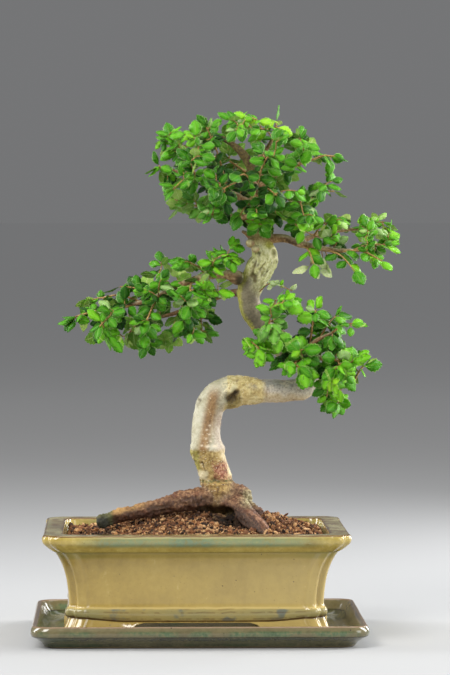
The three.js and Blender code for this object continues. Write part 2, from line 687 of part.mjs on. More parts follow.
// Leaves stand alternately on both sides of a shoot, and one carries it on at its tip.
// One that would cross the wood, a stem or another leaf at every try is left out.
function leavesOn(name, others) {
  const { solid: ownStem, curve } = stems[name];
  const centre = PAD_CENTRES[name.split('_')[0]];
  const random = seededRandom(SPRAY_SEED + Object.keys(stems).indexOf(name));
  const length = curve.getLength();
  const count = Math.round((length - LEAF_START) / LEAF_SPACING);
  const leaves = [];
  for (let i = 0; i <= count; i += 1) {
    const last = i === count;
    const share = last ? 1 : (LEAF_START + i * LEAF_SPACING) / length;
    const place = curve.getPointAt(share);
    const ahead = curve.getTangentAt(share);
    const across = ahead.clone().cross(UP).normalize();
    const [sizeDraw, turnDraw, tiltDraw, faceDraw] = [random(), random(), random(), random()];
    const size = lerp(LEAF_SIZES.min, LEAF_SIZES.max, sizeDraw);
    const outward = place.clone().sub(centre).setZ(0).normalize();
    const face = outward.multiplyScalar(FACE_OUTWARD).add(UP);
    face.addScaledVector(across, FACE_STRAY * (faceDraw - 0.5));
    for (const [turn, tilt] of TRIES) {
      const side = i % 2 ? 1 : -1;
      const spread = last
        ? TIP_STRAY * (turnDraw - 0.5) + turn
        : side * (SPREAD + SPREAD_STRAY * turnDraw + turn);
      const aim = ahead.clone().multiplyScalar(Math.cos(spread)).addScaledVector(across, Math.sin(spread));
      aim.addScaledVector(UP, DROOP_STRAY * (tiltDraw - 0.5) - DROOP + TRY_LIFT * tilt).normalize();
      const foot = last
        ? place.clone().addScaledVector(ahead, -TIP_SINK)
        : place.clone().addScaledVector(aim, LEAF_FOOT);
      const wide = leafSolid(place.clone().addScaledVector(aim, CLEAR_STEP), aim, face, size, GAP);
      const inTheWay = [grownTree, ...others, ...leaves].some((other) => crosses(wide, other));
      if (!inTheWay) {
        leaves.push(leafSolid(foot, aim, face, size));
        break;
      }
    }
  }
  return { leaves, whole: largestBody(joined([ownStem, ...leaves])) };
}

const sprays = {};
const grownLeaves = [];
for (const name of Object.keys(SPRAYS)) {
  const otherStems = Object.keys(stems).filter((other) => other !== name).map((other) => stems[other].solid);
  const { leaves, whole } = leavesOn(name, [...otherStems, ...grownLeaves]);
  grownLeaves.push(...leaves);
  sprays[name] = whole;
}

addPiece('drip_tray', dripTray(), TRAY_GLAZE);
addPiece('pot', pot(), POT_GLAZE);
addPiece('drain_mesh_left', drainMesh(-1), SCREEN);
addPiece('drain_mesh_right', drainMesh(1), SCREEN);
addPiece('soil', soil(), SOIL);
addPiece('trunk', tree(), BARK);
for (const [name, solid] of Object.entries(sprays)) addPiece(`spray_${name}`, solid, LEAF);

export default part;
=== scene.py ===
# %% [markdown]
# A Chinese elm bonsai in a glazed pot on a drip tray.
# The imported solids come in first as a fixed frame: they say where every piece stands and how large it is.
# Each piece is then worked out again as a finer surface over its own solid, with the same skeleton.
# Lengths are in millimetres in the arrays and become metres where a mesh is made.

import bpy
import numpy as np
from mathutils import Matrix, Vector


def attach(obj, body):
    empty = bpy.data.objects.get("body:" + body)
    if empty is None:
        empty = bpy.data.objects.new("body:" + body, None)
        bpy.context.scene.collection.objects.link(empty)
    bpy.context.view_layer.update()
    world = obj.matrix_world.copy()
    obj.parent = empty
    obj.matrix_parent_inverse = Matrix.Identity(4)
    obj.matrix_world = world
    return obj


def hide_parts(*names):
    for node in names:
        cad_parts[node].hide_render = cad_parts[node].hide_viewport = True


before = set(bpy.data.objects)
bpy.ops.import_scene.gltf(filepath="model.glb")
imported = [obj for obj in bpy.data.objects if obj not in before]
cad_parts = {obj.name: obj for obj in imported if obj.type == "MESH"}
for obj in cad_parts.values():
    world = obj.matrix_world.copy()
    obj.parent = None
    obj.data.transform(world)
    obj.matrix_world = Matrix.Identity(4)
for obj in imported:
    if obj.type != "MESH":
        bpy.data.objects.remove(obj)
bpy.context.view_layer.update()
MM = 0.001

# %% [markdown]
# Shader maths reads best as ordinary arithmetic. A small class wraps one socket of a node, and each
# operator between two of them, or with a number, adds the Math node that works it out.


# %% Sockets that can be added and multiplied
def arithmetic(operation, swapped=False):
    """A method that adds the Math node of an operation to a finish, with one more value if it needs it."""

    def method(self, other=0.0):
        values = (other, self) if swapped else (self, other)
        return self.finish.node("Math", {"operation": operation}, dict(enumerate(values)))

    return method


class Wire:
    """One output socket. Sums and products of it are Math nodes in the same finish."""

    def __init__(self, finish, socket):
        self.finish = finish
        self.socket = socket

    __add__, __radd__ = arithmetic("ADD"), arithmetic("ADD", swapped=True)
    __sub__, __rsub__ = arithmetic("SUBTRACT"), arithmetic("SUBTRACT", swapped=True)
    __mul__, __rmul__ = arithmetic("MULTIPLY"), arithmetic("MULTIPLY", swapped=True)
    __abs__, root = arithmetic("ABSOLUTE"), arithmetic("SQRT")
    fraction, larger = arithmetic("FRACT"), arithmetic("MAXIMUM")

    def rise(self, low, high):
        """0 below low, 1 above high, and a smooth step between them."""
        settings = {"interpolation_type": "SMOOTHSTEP"}
        return self.finish.node("MapRange", settings, {"Value": self, "From Min": low, "From Max": high})

    def fall(self, low, high):
        """1 below low and 0 above high."""
        return 1 - self.rise(low, high)

    def band(self, centre, half, soft):
        """1 within half of the centre, falling to 0 over the soft width."""
        return abs(self - centre).fall(half, half + soft)


# %% [markdown]
# A finish is one material. All its nodes come from one method, which takes the node's kind, its
# settings and what goes into its sockets, so every recipe below reads as a list of ingredients.


# %% A finish and its nodes
def linear(red, green, blue):
    """The linear colour of an 8-bit screen colour: each share to the power 2.2."""
    return tuple((value / 255) ** 2.2 for value in (red, green, blue)) + (1.0,)


def paint_colour(value):
    """A socket as it is, or three screen numbers made a linear colour."""
    return value if isinstance(value, Wire) else linear(*value)


class Finish:
    """A material built node by node. Its colour is laid on in coats, each over the ones before."""

    def __init__(self, name):
        self.material = bpy.data.materials.new(name)
        self.material.use_nodes = True
        self.tree = self.material.node_tree
        self.tree.nodes.clear()
        self.position = self.node("TexCoord", output="Object")
        self.x, self.y, self.z = [part * (1 / MM) for part in self.parts(self.position)]

    def node(self, kind, settings=None, inputs=None, output=0):
        made = self.tree.nodes.new("ShaderNode" + kind)
        for key, value in (settings or {}).items():
            if key == "stops":
                ramp = made.color_ramp
                while len(ramp.elements) < len(value):
                    ramp.elements.new(0.5)
                for element, (place, colour) in zip(ramp.elements, value):
                    element.position = place
                    element.color = colour
            else:
                setattr(made, key, value)
        for key, value in (inputs or {}).items():
            if isinstance(value, Wire):
                self.tree.links.new(value.socket, made.inputs[key])
            else:
                made.inputs[key].default_value = value
        return Wire(self, made.outputs[output]) if made.outputs else made

    def noise(self, size, detail=3.0, roughness=0.5, vector=None, seed=0.0):
        """Cloudy noise whose patches are about `size` millimetres across, from 0 to 1."""
        inputs = {"Scale": 1 / (size * MM), "Detail": detail, "Roughness": roughness, "W": seed}
        inputs["Vector"] = vector or self.position
        return self.node("TexNoise", {"noise_dimensions": "4D"}, inputs)

    def parts(self, vector):
        """The three numbers of a vector."""
        return [self.node("SeparateXYZ", {}, {0: vector}, output=axis) for axis in "XYZ"]

    def spots(self, size, vector=None, output="Distance"):
        """Distance to the middle of the nearest cell, for cells about `size` millimetres across."""
        inputs = {"Scale": 1 / (size * MM), "Vector": vector or self.position}
        return self.node("TexVoronoi", {}, inputs, output=output)

    def stretched(self, x, y, z, vector=None):
        """A position with each axis scaled, which draws a pattern out along the small ones."""
        return self.node("Mapping", {}, {"Vector": vector or self.position, "Scale": (x, y, z)})

    def mix(self, share, first, second):
        inputs = {0: share, 6: paint_colour(first), 7: paint_colour(second)}
        return self.node("Mix", {"data_type": "RGBA"}, inputs, output=2)

    def paint(self, share, colour):
        """One more coat, laid on as thickly as its share says."""
        self.colour = self.mix(share, self.colour, colour)

    def ramp(self, value, *stops):
        """Colours laid along a value from 0 to 1: each stop is a place and three screen numbers."""
        stops = [(place, linear(*numbers)) for place, *numbers in stops]
        return self.node("ValToRGB", {"stops": stops}, {0: value})

    def named(self, name, output="Fac"):
        return self.node("Attribute", {"attribute_name": name}, output=output)

    def bump(self, height, depth, normal=None):
        """A bump of `depth` millimetres where the height is 1."""
        inputs = {"Height": height, "Distance": depth * MM, "Strength": 1.0}
        if normal is not None:
            inputs["Normal"] = normal
        return self.node("Bump", {}, inputs)

    def surface(self, **inputs):
        named = {key.replace("_", " "): value for key, value in inputs.items()}
        shader = self.node("BsdfPrincipled", {}, {"Base Color": self.colour, **named})
        self.node("OutputMaterial", {}, {"Surface": shader})
        return self.material


# %% [markdown]
# Every new piece is a set of closed sheets. The points come from numpy in one array and go into the
# mesh in one call, together with values that the finish reads, such as where a vein runs.


# %% From arrays to a piece
def make_mesh(name, points, faces, corner_values=None, point_values=None, marks=None, smooth=True):
    """A mesh from points in millimetres and one or more arrays of faces with equal corner counts."""
    mesh = bpy.data.meshes.new(name)
    corners = np.concatenate([part.ravel() for part in faces]).astype(np.int32)
    counts = np.concatenate([np.full(len(part), part.shape[1]) for part in faces])
    starts = np.concatenate([[0], np.cumsum(counts)[:-1]]).astype(np.int32)
    mesh.vertices.add(len(points))
    mesh.vertices.foreach_set("co", (np.asarray(points) * MM).astype(np.float32).ravel())
    mesh.loops.add(len(corners))
    mesh.loops.foreach_set("vertex_index", corners)
    mesh.polygons.add(len(starts))
    mesh.polygons.foreach_set("loop_start", starts)
    mesh.polygons.foreach_set("use_smooth", np.full(len(starts), smooth))
    for domain, values in (("CORNER", corner_values), ("POINT", point_values)):
        for key, value in (values or {}).items():
            vector = value.ndim == 2
            layer = mesh.attributes.new(key, "FLOAT_VECTOR" if vector else "FLOAT", domain)
            layer.data.foreach_set("vector" if vector else "value", value.astype(np.float32).ravel())
    if marks is not None:
        mesh.polygons.foreach_set("material_index", marks.astype(np.int32))
    mesh.update(calc_edges=True)
    return mesh


def add_piece(name, mesh, finishes, replaced=()):
    """Puts a mesh in the scene as a piece that rides on the root body."""
    piece = bpy.data.objects.new(name, mesh)
    for finish in finishes:
        mesh.materials.append(finish)
    bpy.context.scene.collection.objects.link(piece)
    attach(piece, "root")
    if replaced:
        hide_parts(*replaced)
    mesh.calc_loop_triangles()
    print(f"{name}: {len(mesh.loop_triangles)} triangles")
    return piece


def closed_rings(rings, stations):
    """Faces of a skin over rings of points, closed at both ends by a fan to one more point each.

    Point s of ring r has number r * stations + s; the two end points follow all the rings."""
    r = np.arange(rings - 1)[:, None]
    s = np.arange(stations)[None, :]
    after = (s + 1) % stations
    walls = np.stack(
        [r * stations + s, r * stations + after, (r + 1) * stations + after, (r + 1) * stations + s], -1
    )
    first, last = rings * stations, rings * stations + 1
    s, after = s[0], after[0]
    start = np.stack([np.full(stations, first), after, s], -1)
    end = np.stack(
        [np.full(stations, last), (rings - 1) * stations + s, (rings - 1) * stations + after], -1
    )
    return walls.reshape(-1, 4), np.concatenate([start, end])


# %% [markdown]
# Bark, soil and hand-thrown walls are never quite even. One noise function in numpy serves all their
# relief: random numbers at the corners of a lattice, blended smoothly inside each of its cells.


# %% Smooth noise on arrays of points
def lattice_noise(points, size, seed=0):
    """Noise from -1 to 1 with patches of `size` millimetres.

    Each corner of a cubic lattice draws a number from a hash of its place; inside a cell the eight
    numbers are blended with the weights 3t^2 - 2t^3 along each axis."""
    scaled = np.asarray(points, float) / size
    cell = np.floor(scaled).astype(np.int64)
    t = scaled - cell
    t = t * t * (3 - 2 * t)
    total = np.zeros(len(scaled))
    for corner in np.ndindex(2, 2, 2):
        key = (cell + corner) @ np.array([73856093, 19349663, 83492791]) + 2654435761 * (seed + 1)
        key = (key ^ (key >> 13)) * 1274126177 & 0xFFFFFFFF
        key = (key ^ (key >> 16)) * 2246822519 & 0xFFFFFFFF
        weight = np.prod(np.where(corner, t, 1 - t), axis=1)
        total += weight * (((key ^ (key >> 15)) & 0xFFFF) / 32767.5 - 1)
    return total


def layered_noise(points, size, layers=3, seed=0):
    """A sum of noises, each with half the patch size and half the height of the one before."""
    return sum(lattice_noise(points, size / 2**k, seed + k) / 2**k for k in range(layers))


def unit(vectors):
    """Vectors divided by their lengths."""
    return vectors / np.maximum(np.linalg.norm(vectors, axis=-1, keepdims=True), 1e-9)


# %% [markdown]
# The pot was pressed in a mould: a rectangle whose corners are drawn into two ribs with a groove
# between them, carried up along one profile. So its surface is a function of two parameters, the place
# round the rectangle and the place along the profile, and the tray is the same function with no ribs.

# %% Sizes of the ware
GAP = 0.3
POT_X = -2.5
RIM_HALF = np.array([127.2, 98.0])
RIM_TOP = 92.0
BAND_HALF = 108.2
WAIST_HALF = 105.6
FOOT_HALF = 111.0
FOOT_INNER_HALF = 97.0
INNER_RIM_HALF = 109.7
POT_UNDERSIDE = 19.4
POT_FLOOR = 25.4
POT_SLIMMER = RIM_HALF[0] - RIM_HALF[1]
FOOT_CORNER = np.array([50.0, 42.0])
TRAY_HALF = np.array([138.9, 111.7])
TRAY_BASE_HALF = 126.4
TRAY_HEIGHT = 18.6
TRAY_FLOOR = 5.0
GROOVE_DEPTH = 0.24
COVE_DEPTH = 1.3
COVE_RUN = 3.0
SIDE_STEPS = 20
CORNER_STEPS = 20


# %% Profiles and squared rings
def rounded_profile(stops, steps):
    """Values along a chain of stops, each span cut into even steps, then smoothed twice so that every
    edge is rounded: each value becomes half itself and a quarter of each neighbour."""
    stops = np.asarray(stops, float)
    places = np.arange(len(stops))
    fine = np.linspace(0, len(stops) - 1, (len(stops) - 1) * steps + 1)
    table = np.stack([np.interp(fine, places, column) for column in stops.T], 1)
    for _ in range(2):
        table[1:-1] = 0.5 * table[1:-1] + 0.25 * (table[:-2] + table[2:])
    return table


def squared_rings(table, slimmer, centre_x):
    """Rings of a rectangle with round corners, one for each row of half length, height, rib and radius.

    Along a side the place goes evenly from the middle to the corner, and the wall lies back by the
    cove's depth, eased over its run. Round a corner the radius dips in the middle to draw the groove."""
    half, height, rib, radius = [column[:, None] for column in table.T]
    half_y = np.maximum(half - slimmer, 0.0)
    share = 1 - (1 - np.linspace(0, 1, SIDE_STEPS, endpoint=False)[None, :]) ** 1.7
    angle = np.linspace(0, np.pi / 2, CORNER_STEPS + 1)[None, :]

    def side(length):
        away = (length - radius) * (1 - share)
        ease = np.clip(away / COVE_RUN, 0, 1)
        edge = np.exp(-(((away - COVE_RUN) / 1.6) ** 2))
        return (length - radius) * share, COVE_DEPTH * rib * (ease * ease * (3 - 2 * ease) + 0.35 * edge)

    groove = np.exp(-(((angle - np.pi / 4) / 0.2) ** 2)) * 1.15 + 0.12 * np.cos(4 * angle) - 0.12
    reach = radius * (1 - GROOVE_DEPTH * rib * groove)
    along_y, back_y = side(half_y)
    along_x, back_x = side(half)
    quarter_x = np.concatenate(
        [half - back_y, half - radius + reach * np.cos(angle), along_x[:, ::-1]], 1
    )
    quarter_y = np.concatenate(
        [along_y, half_y - radius + reach * np.sin(angle), (half_y - back_x)[:, ::-1]], 1
    )
    x = [quarter_x, -quarter_x[:, -2::-1], -quarter_x[:, 1:], quarter_x[:, -2:0:-1]]
    y = [quarter_y, quarter_y[:, -2::-1], -quarter_y[:, 1:], -quarter_y[:, -2:0:-1]]
    x, y = np.concatenate(x, 1), np.concatenate(y, 1)
    return np.stack([x + centre_x, y, np.broadcast_to(height, x.shape)], -1)


def foot_arch(rings, top):
    """Lifts the part of the foot ring between the corner feet, in proportion below the given height."""
    x, y, z = np.moveaxis(rings, -1, 0)
    reach_x = FOOT_HALF - FOOT_CORNER[0]
    reach_y = FOOT_HALF - POT_SLIMMER - FOOT_CORNER[1]
    rise = POT_UNDERSIDE - TRAY_FLOOR - 1
    into_front = (reach_x - np.abs(x - POT_X)) * (np.abs(y) > FOOT_INNER_HALF - POT_SLIMMER - 2)
    into_side = (reach_y - np.abs(y)) * (np.abs(x - POT_X) > FOOT_INNER_HALF - 2)
    lift = np.clip(np.maximum(into_front, into_side), 0, rise)
    share = np.clip((top - z) / (top - TRAY_FLOOR - GAP), 0, 1)
    rings[..., 2] = np.where(z < top, z + lift * share, z)
    return rings


def sunken_groove(rings):
    """Lets the groove under the band sink from its height at the corners to the edge of the foot's cut
    in the middle of each side. Heights between the cut, the groove and the band's top are stretched."""
    x, y, z = np.moveaxis(rings, -1, 0)
    on_front = np.abs(y) > FOOT_INNER_HALF - POT_SLIMMER
    along = np.where(on_front, (102 - np.abs(x - POT_X)) / 45, (72 - np.abs(y)) / 33)
    middle = np.clip(along, 0, 1)
    middle = middle * middle * (3 - 2 * middle)
    sunk = np.interp(z, [0, 18.7, 23, 29, 200], [0, 18.7, 19.3, 29, 200])
    rings[..., 2] = z + (sunk - z) * middle
    return rings


def ware(rings, low, high):
    """The rings and the two points in the middle that close them below and above."""
    points = np.concatenate([rings.reshape(-1, 3), [low, high]])
    wander = layered_noise(points, 34.0, 2, seed=5)[:, None] * 0.16
    points[:-2] += (unit(points[:-2] * [1, 1, 0]) * wander[:-2]) * (points[:-2, 2:] > TRAY_FLOOR + 2)
    return points, closed_rings(rings.shape[0], rings.shape[1])


def from_sizes(*groups):
    """Rows of half length, height, rib and radius; a group's half lengths are counted from its size."""
    return [(size + further, *rest) for size, rows in groups for further, *rest in rows]


POT_PROFILE = from_sizes(
    (FOOT_INNER_HALF, [
        (-4, POT_UNDERSIDE, 0, 8), (0, POT_UNDERSIDE, 0, 11), (0.6, 12, 0, 11),
        (1, TRAY_FLOOR + GAP, 0, 11),
    ]),
    (FOOT_HALF, [
        (-1, TRAY_FLOOR + GAP, 0.8, 14), (0, 6.6, 0.8, 15), (-0.5, 10, 0.8, 15), (-1.6, 14.5, 0.8, 15),
        (-3.4, 18.5, 0.8, 15),
    ]),
    (WAIST_HALF, [(0.9, 21.4, 0.8, 15), (0.7, 22.4, 0.8, 15)]),
    (BAND_HALF, [
        (-0.6, 23.4, 0.8, 15), (0, 24.6, 0.8, 15), (0.3, 26.6, 0.8, 15), (0, 28.8, 0.8, 15),
        (-0.9, 30, 0.85, 15),
    ]),
    (WAIST_HALF, [
        (0.5, 31, 0.95, 15), (0, 33, 1, 15), (0.2, 39, 1, 15), (0.9, 46, 1, 15), (1.9, 53.5, 1, 15),
        (3.4, 60, 1, 15), (5.4, 66.3, 0.95, 15), (8.6, 72.8, 0.85, 15),
    ]),
    (RIM_HALF[0], [
        (-10.9, 76, 0.75, 15), (-10.5, 77, 0.7, 15), (-8.8, 77.5, 0.65, 15), (-7.4, 78.4, 0.6, 15),
        (-5, 80.4, 0.55, 15), (-2.2, 82.9, 0.5, 15), (-0.4, 85.2, 0.5, 15), (0, 87.2, 0.5, 15),
        (-0.1, 89.2, 0.45, 15), (-0.9, 91, 0.4, 15), (-2.4, RIM_TOP, 0.2, 15), (-8, RIM_TOP - 0.2, 0, 14),
    ]),
    (INNER_RIM_HALF, [
        (2.4, RIM_TOP - 0.1, 0, 12), (0.6, 91.5, 0, 11.5), (0, 90, 0, 11), (-1.4, 84, 0, 11),
        (-4, 74, 0, 11),
    ]),
    (WAIST_HALF, [(-7, 45, 0, 11), (-12, POT_FLOOR, 0, 11), (-16, POT_FLOOR, 0, 9)]),
)
TRAY_PROFILE = from_sizes(
    (TRAY_BASE_HALF, [(-6, 0, 0, 12), (0, 0, 0, 14), (1.6, 0.9, 0, 15)]),
    (TRAY_HALF[0], [
        (-9, 4.4, 0, 15), (-4.8, 7.4, 0, 15), (-1.9, 9, 0, 15), (-0.8, 10, 0, 15), (0, 12.6, 0, 15),
        (-0.3, 15.2, 0, 15), (-1.6, 17.8, 0, 15), (-2.8, TRAY_HEIGHT + 0.1, 0, 15), (-4.4, 18.2, 0, 14),
        (-6.4, 15.6, 0, 13), (-9.6, 10, 0, 12), (-12.4, 6.4, 0, 12), (-15, TRAY_FLOOR + 0.1, 0, 11),
        (-22, TRAY_FLOOR, 0, 9),
    ]),
)
pot_rings = squared_rings(rounded_profile(POT_PROFILE, 4), POT_SLIMMER, POT_X)
level = np.repeat(pot_rings[:, :1, 2], pot_rings.shape[1], axis=1).ravel()
pot_rings = sunken_groove(foot_arch(pot_rings, 22.5))
pot_points, pot_faces = ware(pot_rings, [POT_X, 0, POT_UNDERSIDE], [POT_X, 0, POT_FLOOR])
tray_rings = squared_rings(rounded_profile(TRAY_PROFILE, 4), TRAY_HALF[0] - TRAY_HALF[1], 0.0)
tray_points, tray_faces = ware(tray_rings, [0, 0, 0], [0, 0, TRAY_FLOOR])
print("pot points", len(pot_points), "tray points", len(tray_points))

# %% [markdown]
# The glaze is an ochre ash glaze. Where it ran thin over an edge the iron in the clay shows as a brown
# line, and where it pooled it turns green. The height on the pot decides between them, so the recipe
# mixes colours by z, with a little noise that keeps every border uneven.


# %% Pot glaze
def pot_glaze():
    glaze = Finish("ochre glaze with green rim")
    noise, mix, ramp, paint = glaze.noise, glaze.mix, glaze.ramp, glaze.paint
    level = glaze.named("level")
    z = level + (noise(14, 4) - 0.5) * 1.4
    cloud = noise(46, 5, 0.55)
    streaks = noise(10, 4, 0.6, vector=glaze.stretched(1, 1, 0.3), seed=2)
    mottle = noise(4.5, 6, 0.7, seed=4)
    body = ramp(
        cloud * 0.5 + streaks * 0.25 + mottle * 0.25,
        (0.34, 146, 122, 62), (0.46, 166, 141, 74),
        (0.56, 178, 152, 80), (0.7, 192, 168, 98),
    )
    # Painted light: the glaze grows lighter towards the pot's right end.
    body = mix(glaze.x.rise(-120, 110) * 0.45, body, (206, 184, 120))
    lip = ramp(
        mottle * 0.4 + cloud * 0.6, (0.36, 152, 130, 64), (0.5, 182, 160, 84), (0.64, 204, 184, 112)
    )
    green = ramp(
        mottle * 0.6 + cloud * 0.4,
        (0.36, 84, 108, 88), (0.48, 108, 134, 110), (0.58, 134, 146, 104), (0.7, 160, 156, 90),
    )
    rim = z.rise(76.9, 77.7)
    glaze.colour = mix(rim * 0.92, body, lip)
    middle = (abs(glaze.x) + (noise(30, 3, seed=11) - 0.5) * 70).fall(62, 112)
    middle = middle.larger(0.75 * (abs(glaze.y) + (noise(30, 3, seed=12) - 0.5) * 60).fall(40, 84))
    pooled = z.band(86.3, 2.4, 3.2) * middle
    pooled = pooled * (0.35 + 0.35 * noise(16, 3, seed=13) + 0.4 * mottle.rise(0.4, 0.58))
    paint(pooled, green)
    above = z.band(90.2, 0.3, 0.8) * middle
    paint(above * 0.45, (190, 182, 140))
    under_lip = z.band(75.0, 1.6, 3.0) * (1 - middle * 0.6)
    paint(under_lip * 0.4, (124, 128, 74))
    band = z.band(25.6, 3.6, 1.2)
    paint(band * (0.45 + 0.4 * cloud.rise(0.4, 0.6)), (148, 142, 98))
    patch = band * noise(24, 3, 0.5, seed=9).rise(0.56, 0.64)
    paint(patch * 0.75, (92, 106, 106))
    skirt = z.fall(20.5, 22.5)
    paint(skirt * 0.3, (150, 126, 70))
    paint(z.band(30.4, 0.3, 0.8) * 0.6, (204, 184, 124))
    iron = z.band(91.3, 0.3, 0.6) * 0.9
    iron = iron.larger(z.band(22.7, 0.5, 0.9) * 0.95).larger(
        z.band(29.4, 0.1, 0.8) * 0.3 * noise(26, 3, seed=17).rise(0.5, 0.6)
    )
    iron = iron * (0.6 + 0.6 * noise(11, 3, seed=7))
    paint(iron, (84, 46, 28))
    # Painted shade: a dark olive line along the small step under the lip.
    paint(z.band(77.0, 0.25, 1.0) * 0.35, (96, 96, 46))
    brown_lines = z.band(24.4, 0.2, 0.5).larger(z.band(27.6, 0.15, 0.5)) * streaks.rise(0.46, 0.56)
    paint(brown_lines * 0.38, (92, 62, 42))
    flat_top = z.rise(91.7, 92.0)
    paint(flat_top * 0.75, mix(cloud.rise(0.42, 0.6), (138, 136, 98), (184, 178, 136)))
    speckle = glaze.spots(2.6).fall(0.1, 0.24) * noise(6, 2, seed=3).rise(0.52, 0.6)
    paint(speckle * 0.3, (118, 94, 48))
    pin = glaze.spots(10.5).fall(0.03, 0.065)
    paint(pin * 0.85, (52, 36, 20))
    crust = noise(2.2, 4, 0.6, seed=6)
    dimples = glaze.bump(noise(9, 2, seed=8), 0.3)
    dimples = glaze.bump(pin, -0.25, dimples)
    dimples = glaze.bump(crust, 0.03, dimples)
    rough = 0.16 + 0.2 * streaks.rise(0.35, 0.7) * mottle + 0.2 * pin
    return glaze.surface(Roughness=rough, Normal=dimples, Coat_Weight=0.5, Coat_Roughness=0.06)


# %% Tray glaze
def tray_glaze():
    glaze = Finish("olive tray glaze")
    noise, ramp, paint = glaze.noise, glaze.ramp, glaze.paint
    z = glaze.z + (noise(9, 4) - 0.5) * 1.1
    cloud = noise(24, 5, 0.6)
    mottle = noise(3.4, 6, 0.7, seed=1)
    body = ramp(
        cloud * 0.5 + mottle * 0.5,
        (0.3, 50, 48, 34), (0.45, 82, 79, 55),
        (0.56, 104, 99, 70), (0.7, 128, 114, 80),
    )
    green = ramp(mottle, (0.35, 52, 84, 58), (0.5, 84, 110, 78), (0.66, 122, 116, 80))
    lip = z.rise(9.6, 10.8)
    glaze.colour = glaze.mix(lip * 0.5, body, (128, 116, 84))
    pooled = z.band(12.6, 1.0, 2.4) * noise(26, 3, seed=9).rise(0.42, 0.6)
    paint(pooled * 0.8, green)
    wall = (1 - lip) * noise(30, 3, seed=10).rise(0.46, 0.62)
    paint(wall * 0.5, (48, 72, 42))
    paint(z.band(18.2, 0.3, 0.7) * 0.75, (142, 116, 92))
    # Painted shade: a dark line in the groove under the tray's lip.
    paint(z.band(9.7, 0.2, 0.7) * 0.6, (52, 44, 32))
    paint(z.fall(0.6, 1.8) * 0.8, (142, 118, 82))
    floor = z.band(5.2, 0.5, 1.5)
    paint(floor * 0.5, (112, 106, 72))
    pin = glaze.spots(11.0).fall(0.04, 0.08)
    paint(pin * 0.8, (40, 30, 18))
    dimples = glaze.bump(noise(8, 2, seed=5), 0.3)
    dimples = glaze.bump(pin, -0.2, dimples)
    rough = 0.12 + 0.2 * mottle
    return glaze.surface(Roughness=rough, Normal=dimples, Coat_Weight=0.6, Coat_Roughness=0.05)


pot_values = {"level": np.concatenate([level, [POT_UNDERSIDE, POT_FLOOR]])}
pot_mesh = make_mesh("pot_ware", pot_points, pot_faces, point_values=pot_values)
add_piece("pot_ware", pot_mesh, [pot_glaze()], ["pot"])
tray_mesh = make_mesh("tray_ware", tray_points, tray_faces)
add_piece("tray_ware", tray_mesh, [tray_glaze()], ["drip_tray"])

# %% [markdown]
# The two screens over the drain holes are moulded plastic, seen only from under the pot with the tray
# away. Their solids are kept as they are and only take a finish.


# %% Screen plastic
def screen_plastic():
    plastic = Finish("black screen plastic")
    grain = plastic.noise(0.8, 3)
    plastic.colour = plastic.mix(grain, (28, 30, 28), (44, 46, 42))
    normal = plastic.bump(grain, 0.05)
    return plastic.surface(Roughness=0.5 + 0.2 * grain, Normal=normal)


plastic = screen_plastic()
for end in ("left", "right"):
    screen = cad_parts[f"drain_mesh_{end}"]
    screen.data.materials.clear()
    screen.data.materials.append(plastic)

# %% [markdown]
# The potting mix is fired clay, grit and bark in grains of 1 to 5 mm. A heaped bed carries the large
# form, and several thousand separate grains lie on it. Each grain is a twenty-sided ball pushed out of
# shape, so that light catches its flat sides the way it does on real crumbs.

# %% The bed of soil
SOIL_EDGE = 84.0
SOIL_MOUND = 19.0
SOIL_CRUMB = 0.9
DIP_PLACE = np.array([35.0, -31.0])
DIP_REACH = np.array([14.0, 17.0])
DIP_DEPTH = 8.0
MOUND_X = 10.0
MOUND_REACH = np.array([80.0, 62.0])
SOIL_HALF = INNER_RIM_HALF - 2.2
BED_RINGS = 60
DRAW_SEED = 41
draw = np.random.default_rng(DRAW_SEED)


def soil_height(x, y):
    """Edge height plus a mound, exp(-(x/80)^4) exp(-(y/62)^2), and waves a crumb high, less a dip."""
    across = np.exp(-(((x - MOUND_X) / MOUND_REACH[0]) ** 4))
    along = np.exp(-((y / MOUND_REACH[1]) ** 2))
    crumb = np.sin(x * 0.31 + 2 * np.sin(y * 0.17)) + np.sin(y * 0.37 + 1.3 * np.sin(x * 0.23))
    dip = np.exp(-(((x - DIP_PLACE[0]) / DIP_REACH[0]) ** 2) - ((y - DIP_PLACE[1]) / DIP_REACH[1]) ** 2)
    return SOIL_EDGE + SOIL_MOUND * across * along + SOIL_CRUMB * crumb - DIP_DEPTH * dip


SOIL_WALL = [
    (WAIST_HALF - 13, POT_FLOOR + GAP, 0, 11), (WAIST_HALF - 8, 45, 0, 11),
    (SOIL_HALF - 3, 74, 0, 11), (SOIL_HALF, SOIL_EDGE, 0, 11),
]
wall_rings = squared_rings(np.array(SOIL_WALL), POT_SLIMMER, POT_X)
inward = np.linspace(1, 0.02, BED_RINGS)[:, None]
top_x = POT_X + (wall_rings[-1, :, 0] - POT_X) * inward
top_y = wall_rings[-1, :, 1] * inward
top = np.stack([top_x, top_y, soil_height(top_x, top_y)], -1)
top[..., 2] += 0.7 * layered_noise(top.reshape(-1, 3), 6.0, 3, seed=8).reshape(top_x.shape)
bed_rings = np.concatenate([wall_rings[:-1], top])
bed_ends = [[POT_X, 0, POT_FLOOR + GAP], [POT_X, 0, soil_height(POT_X, 0.0)]]
bed_points = np.concatenate([bed_rings.reshape(-1, 3), bed_ends])
bed_faces = closed_rings(bed_rings.shape[0], bed_rings.shape[1])
print("soil bed points", len(bed_points))

# %% [markdown]
# The tree's skeleton is the source's: a line with a thickness for the trunk, each root and each branch.
# The lines are centripetal Catmull-Rom splines, which pass through every point without overshooting.


# %% Smooth lines
SPLINE_STEPS = 24
COARSE_POINTS = 60


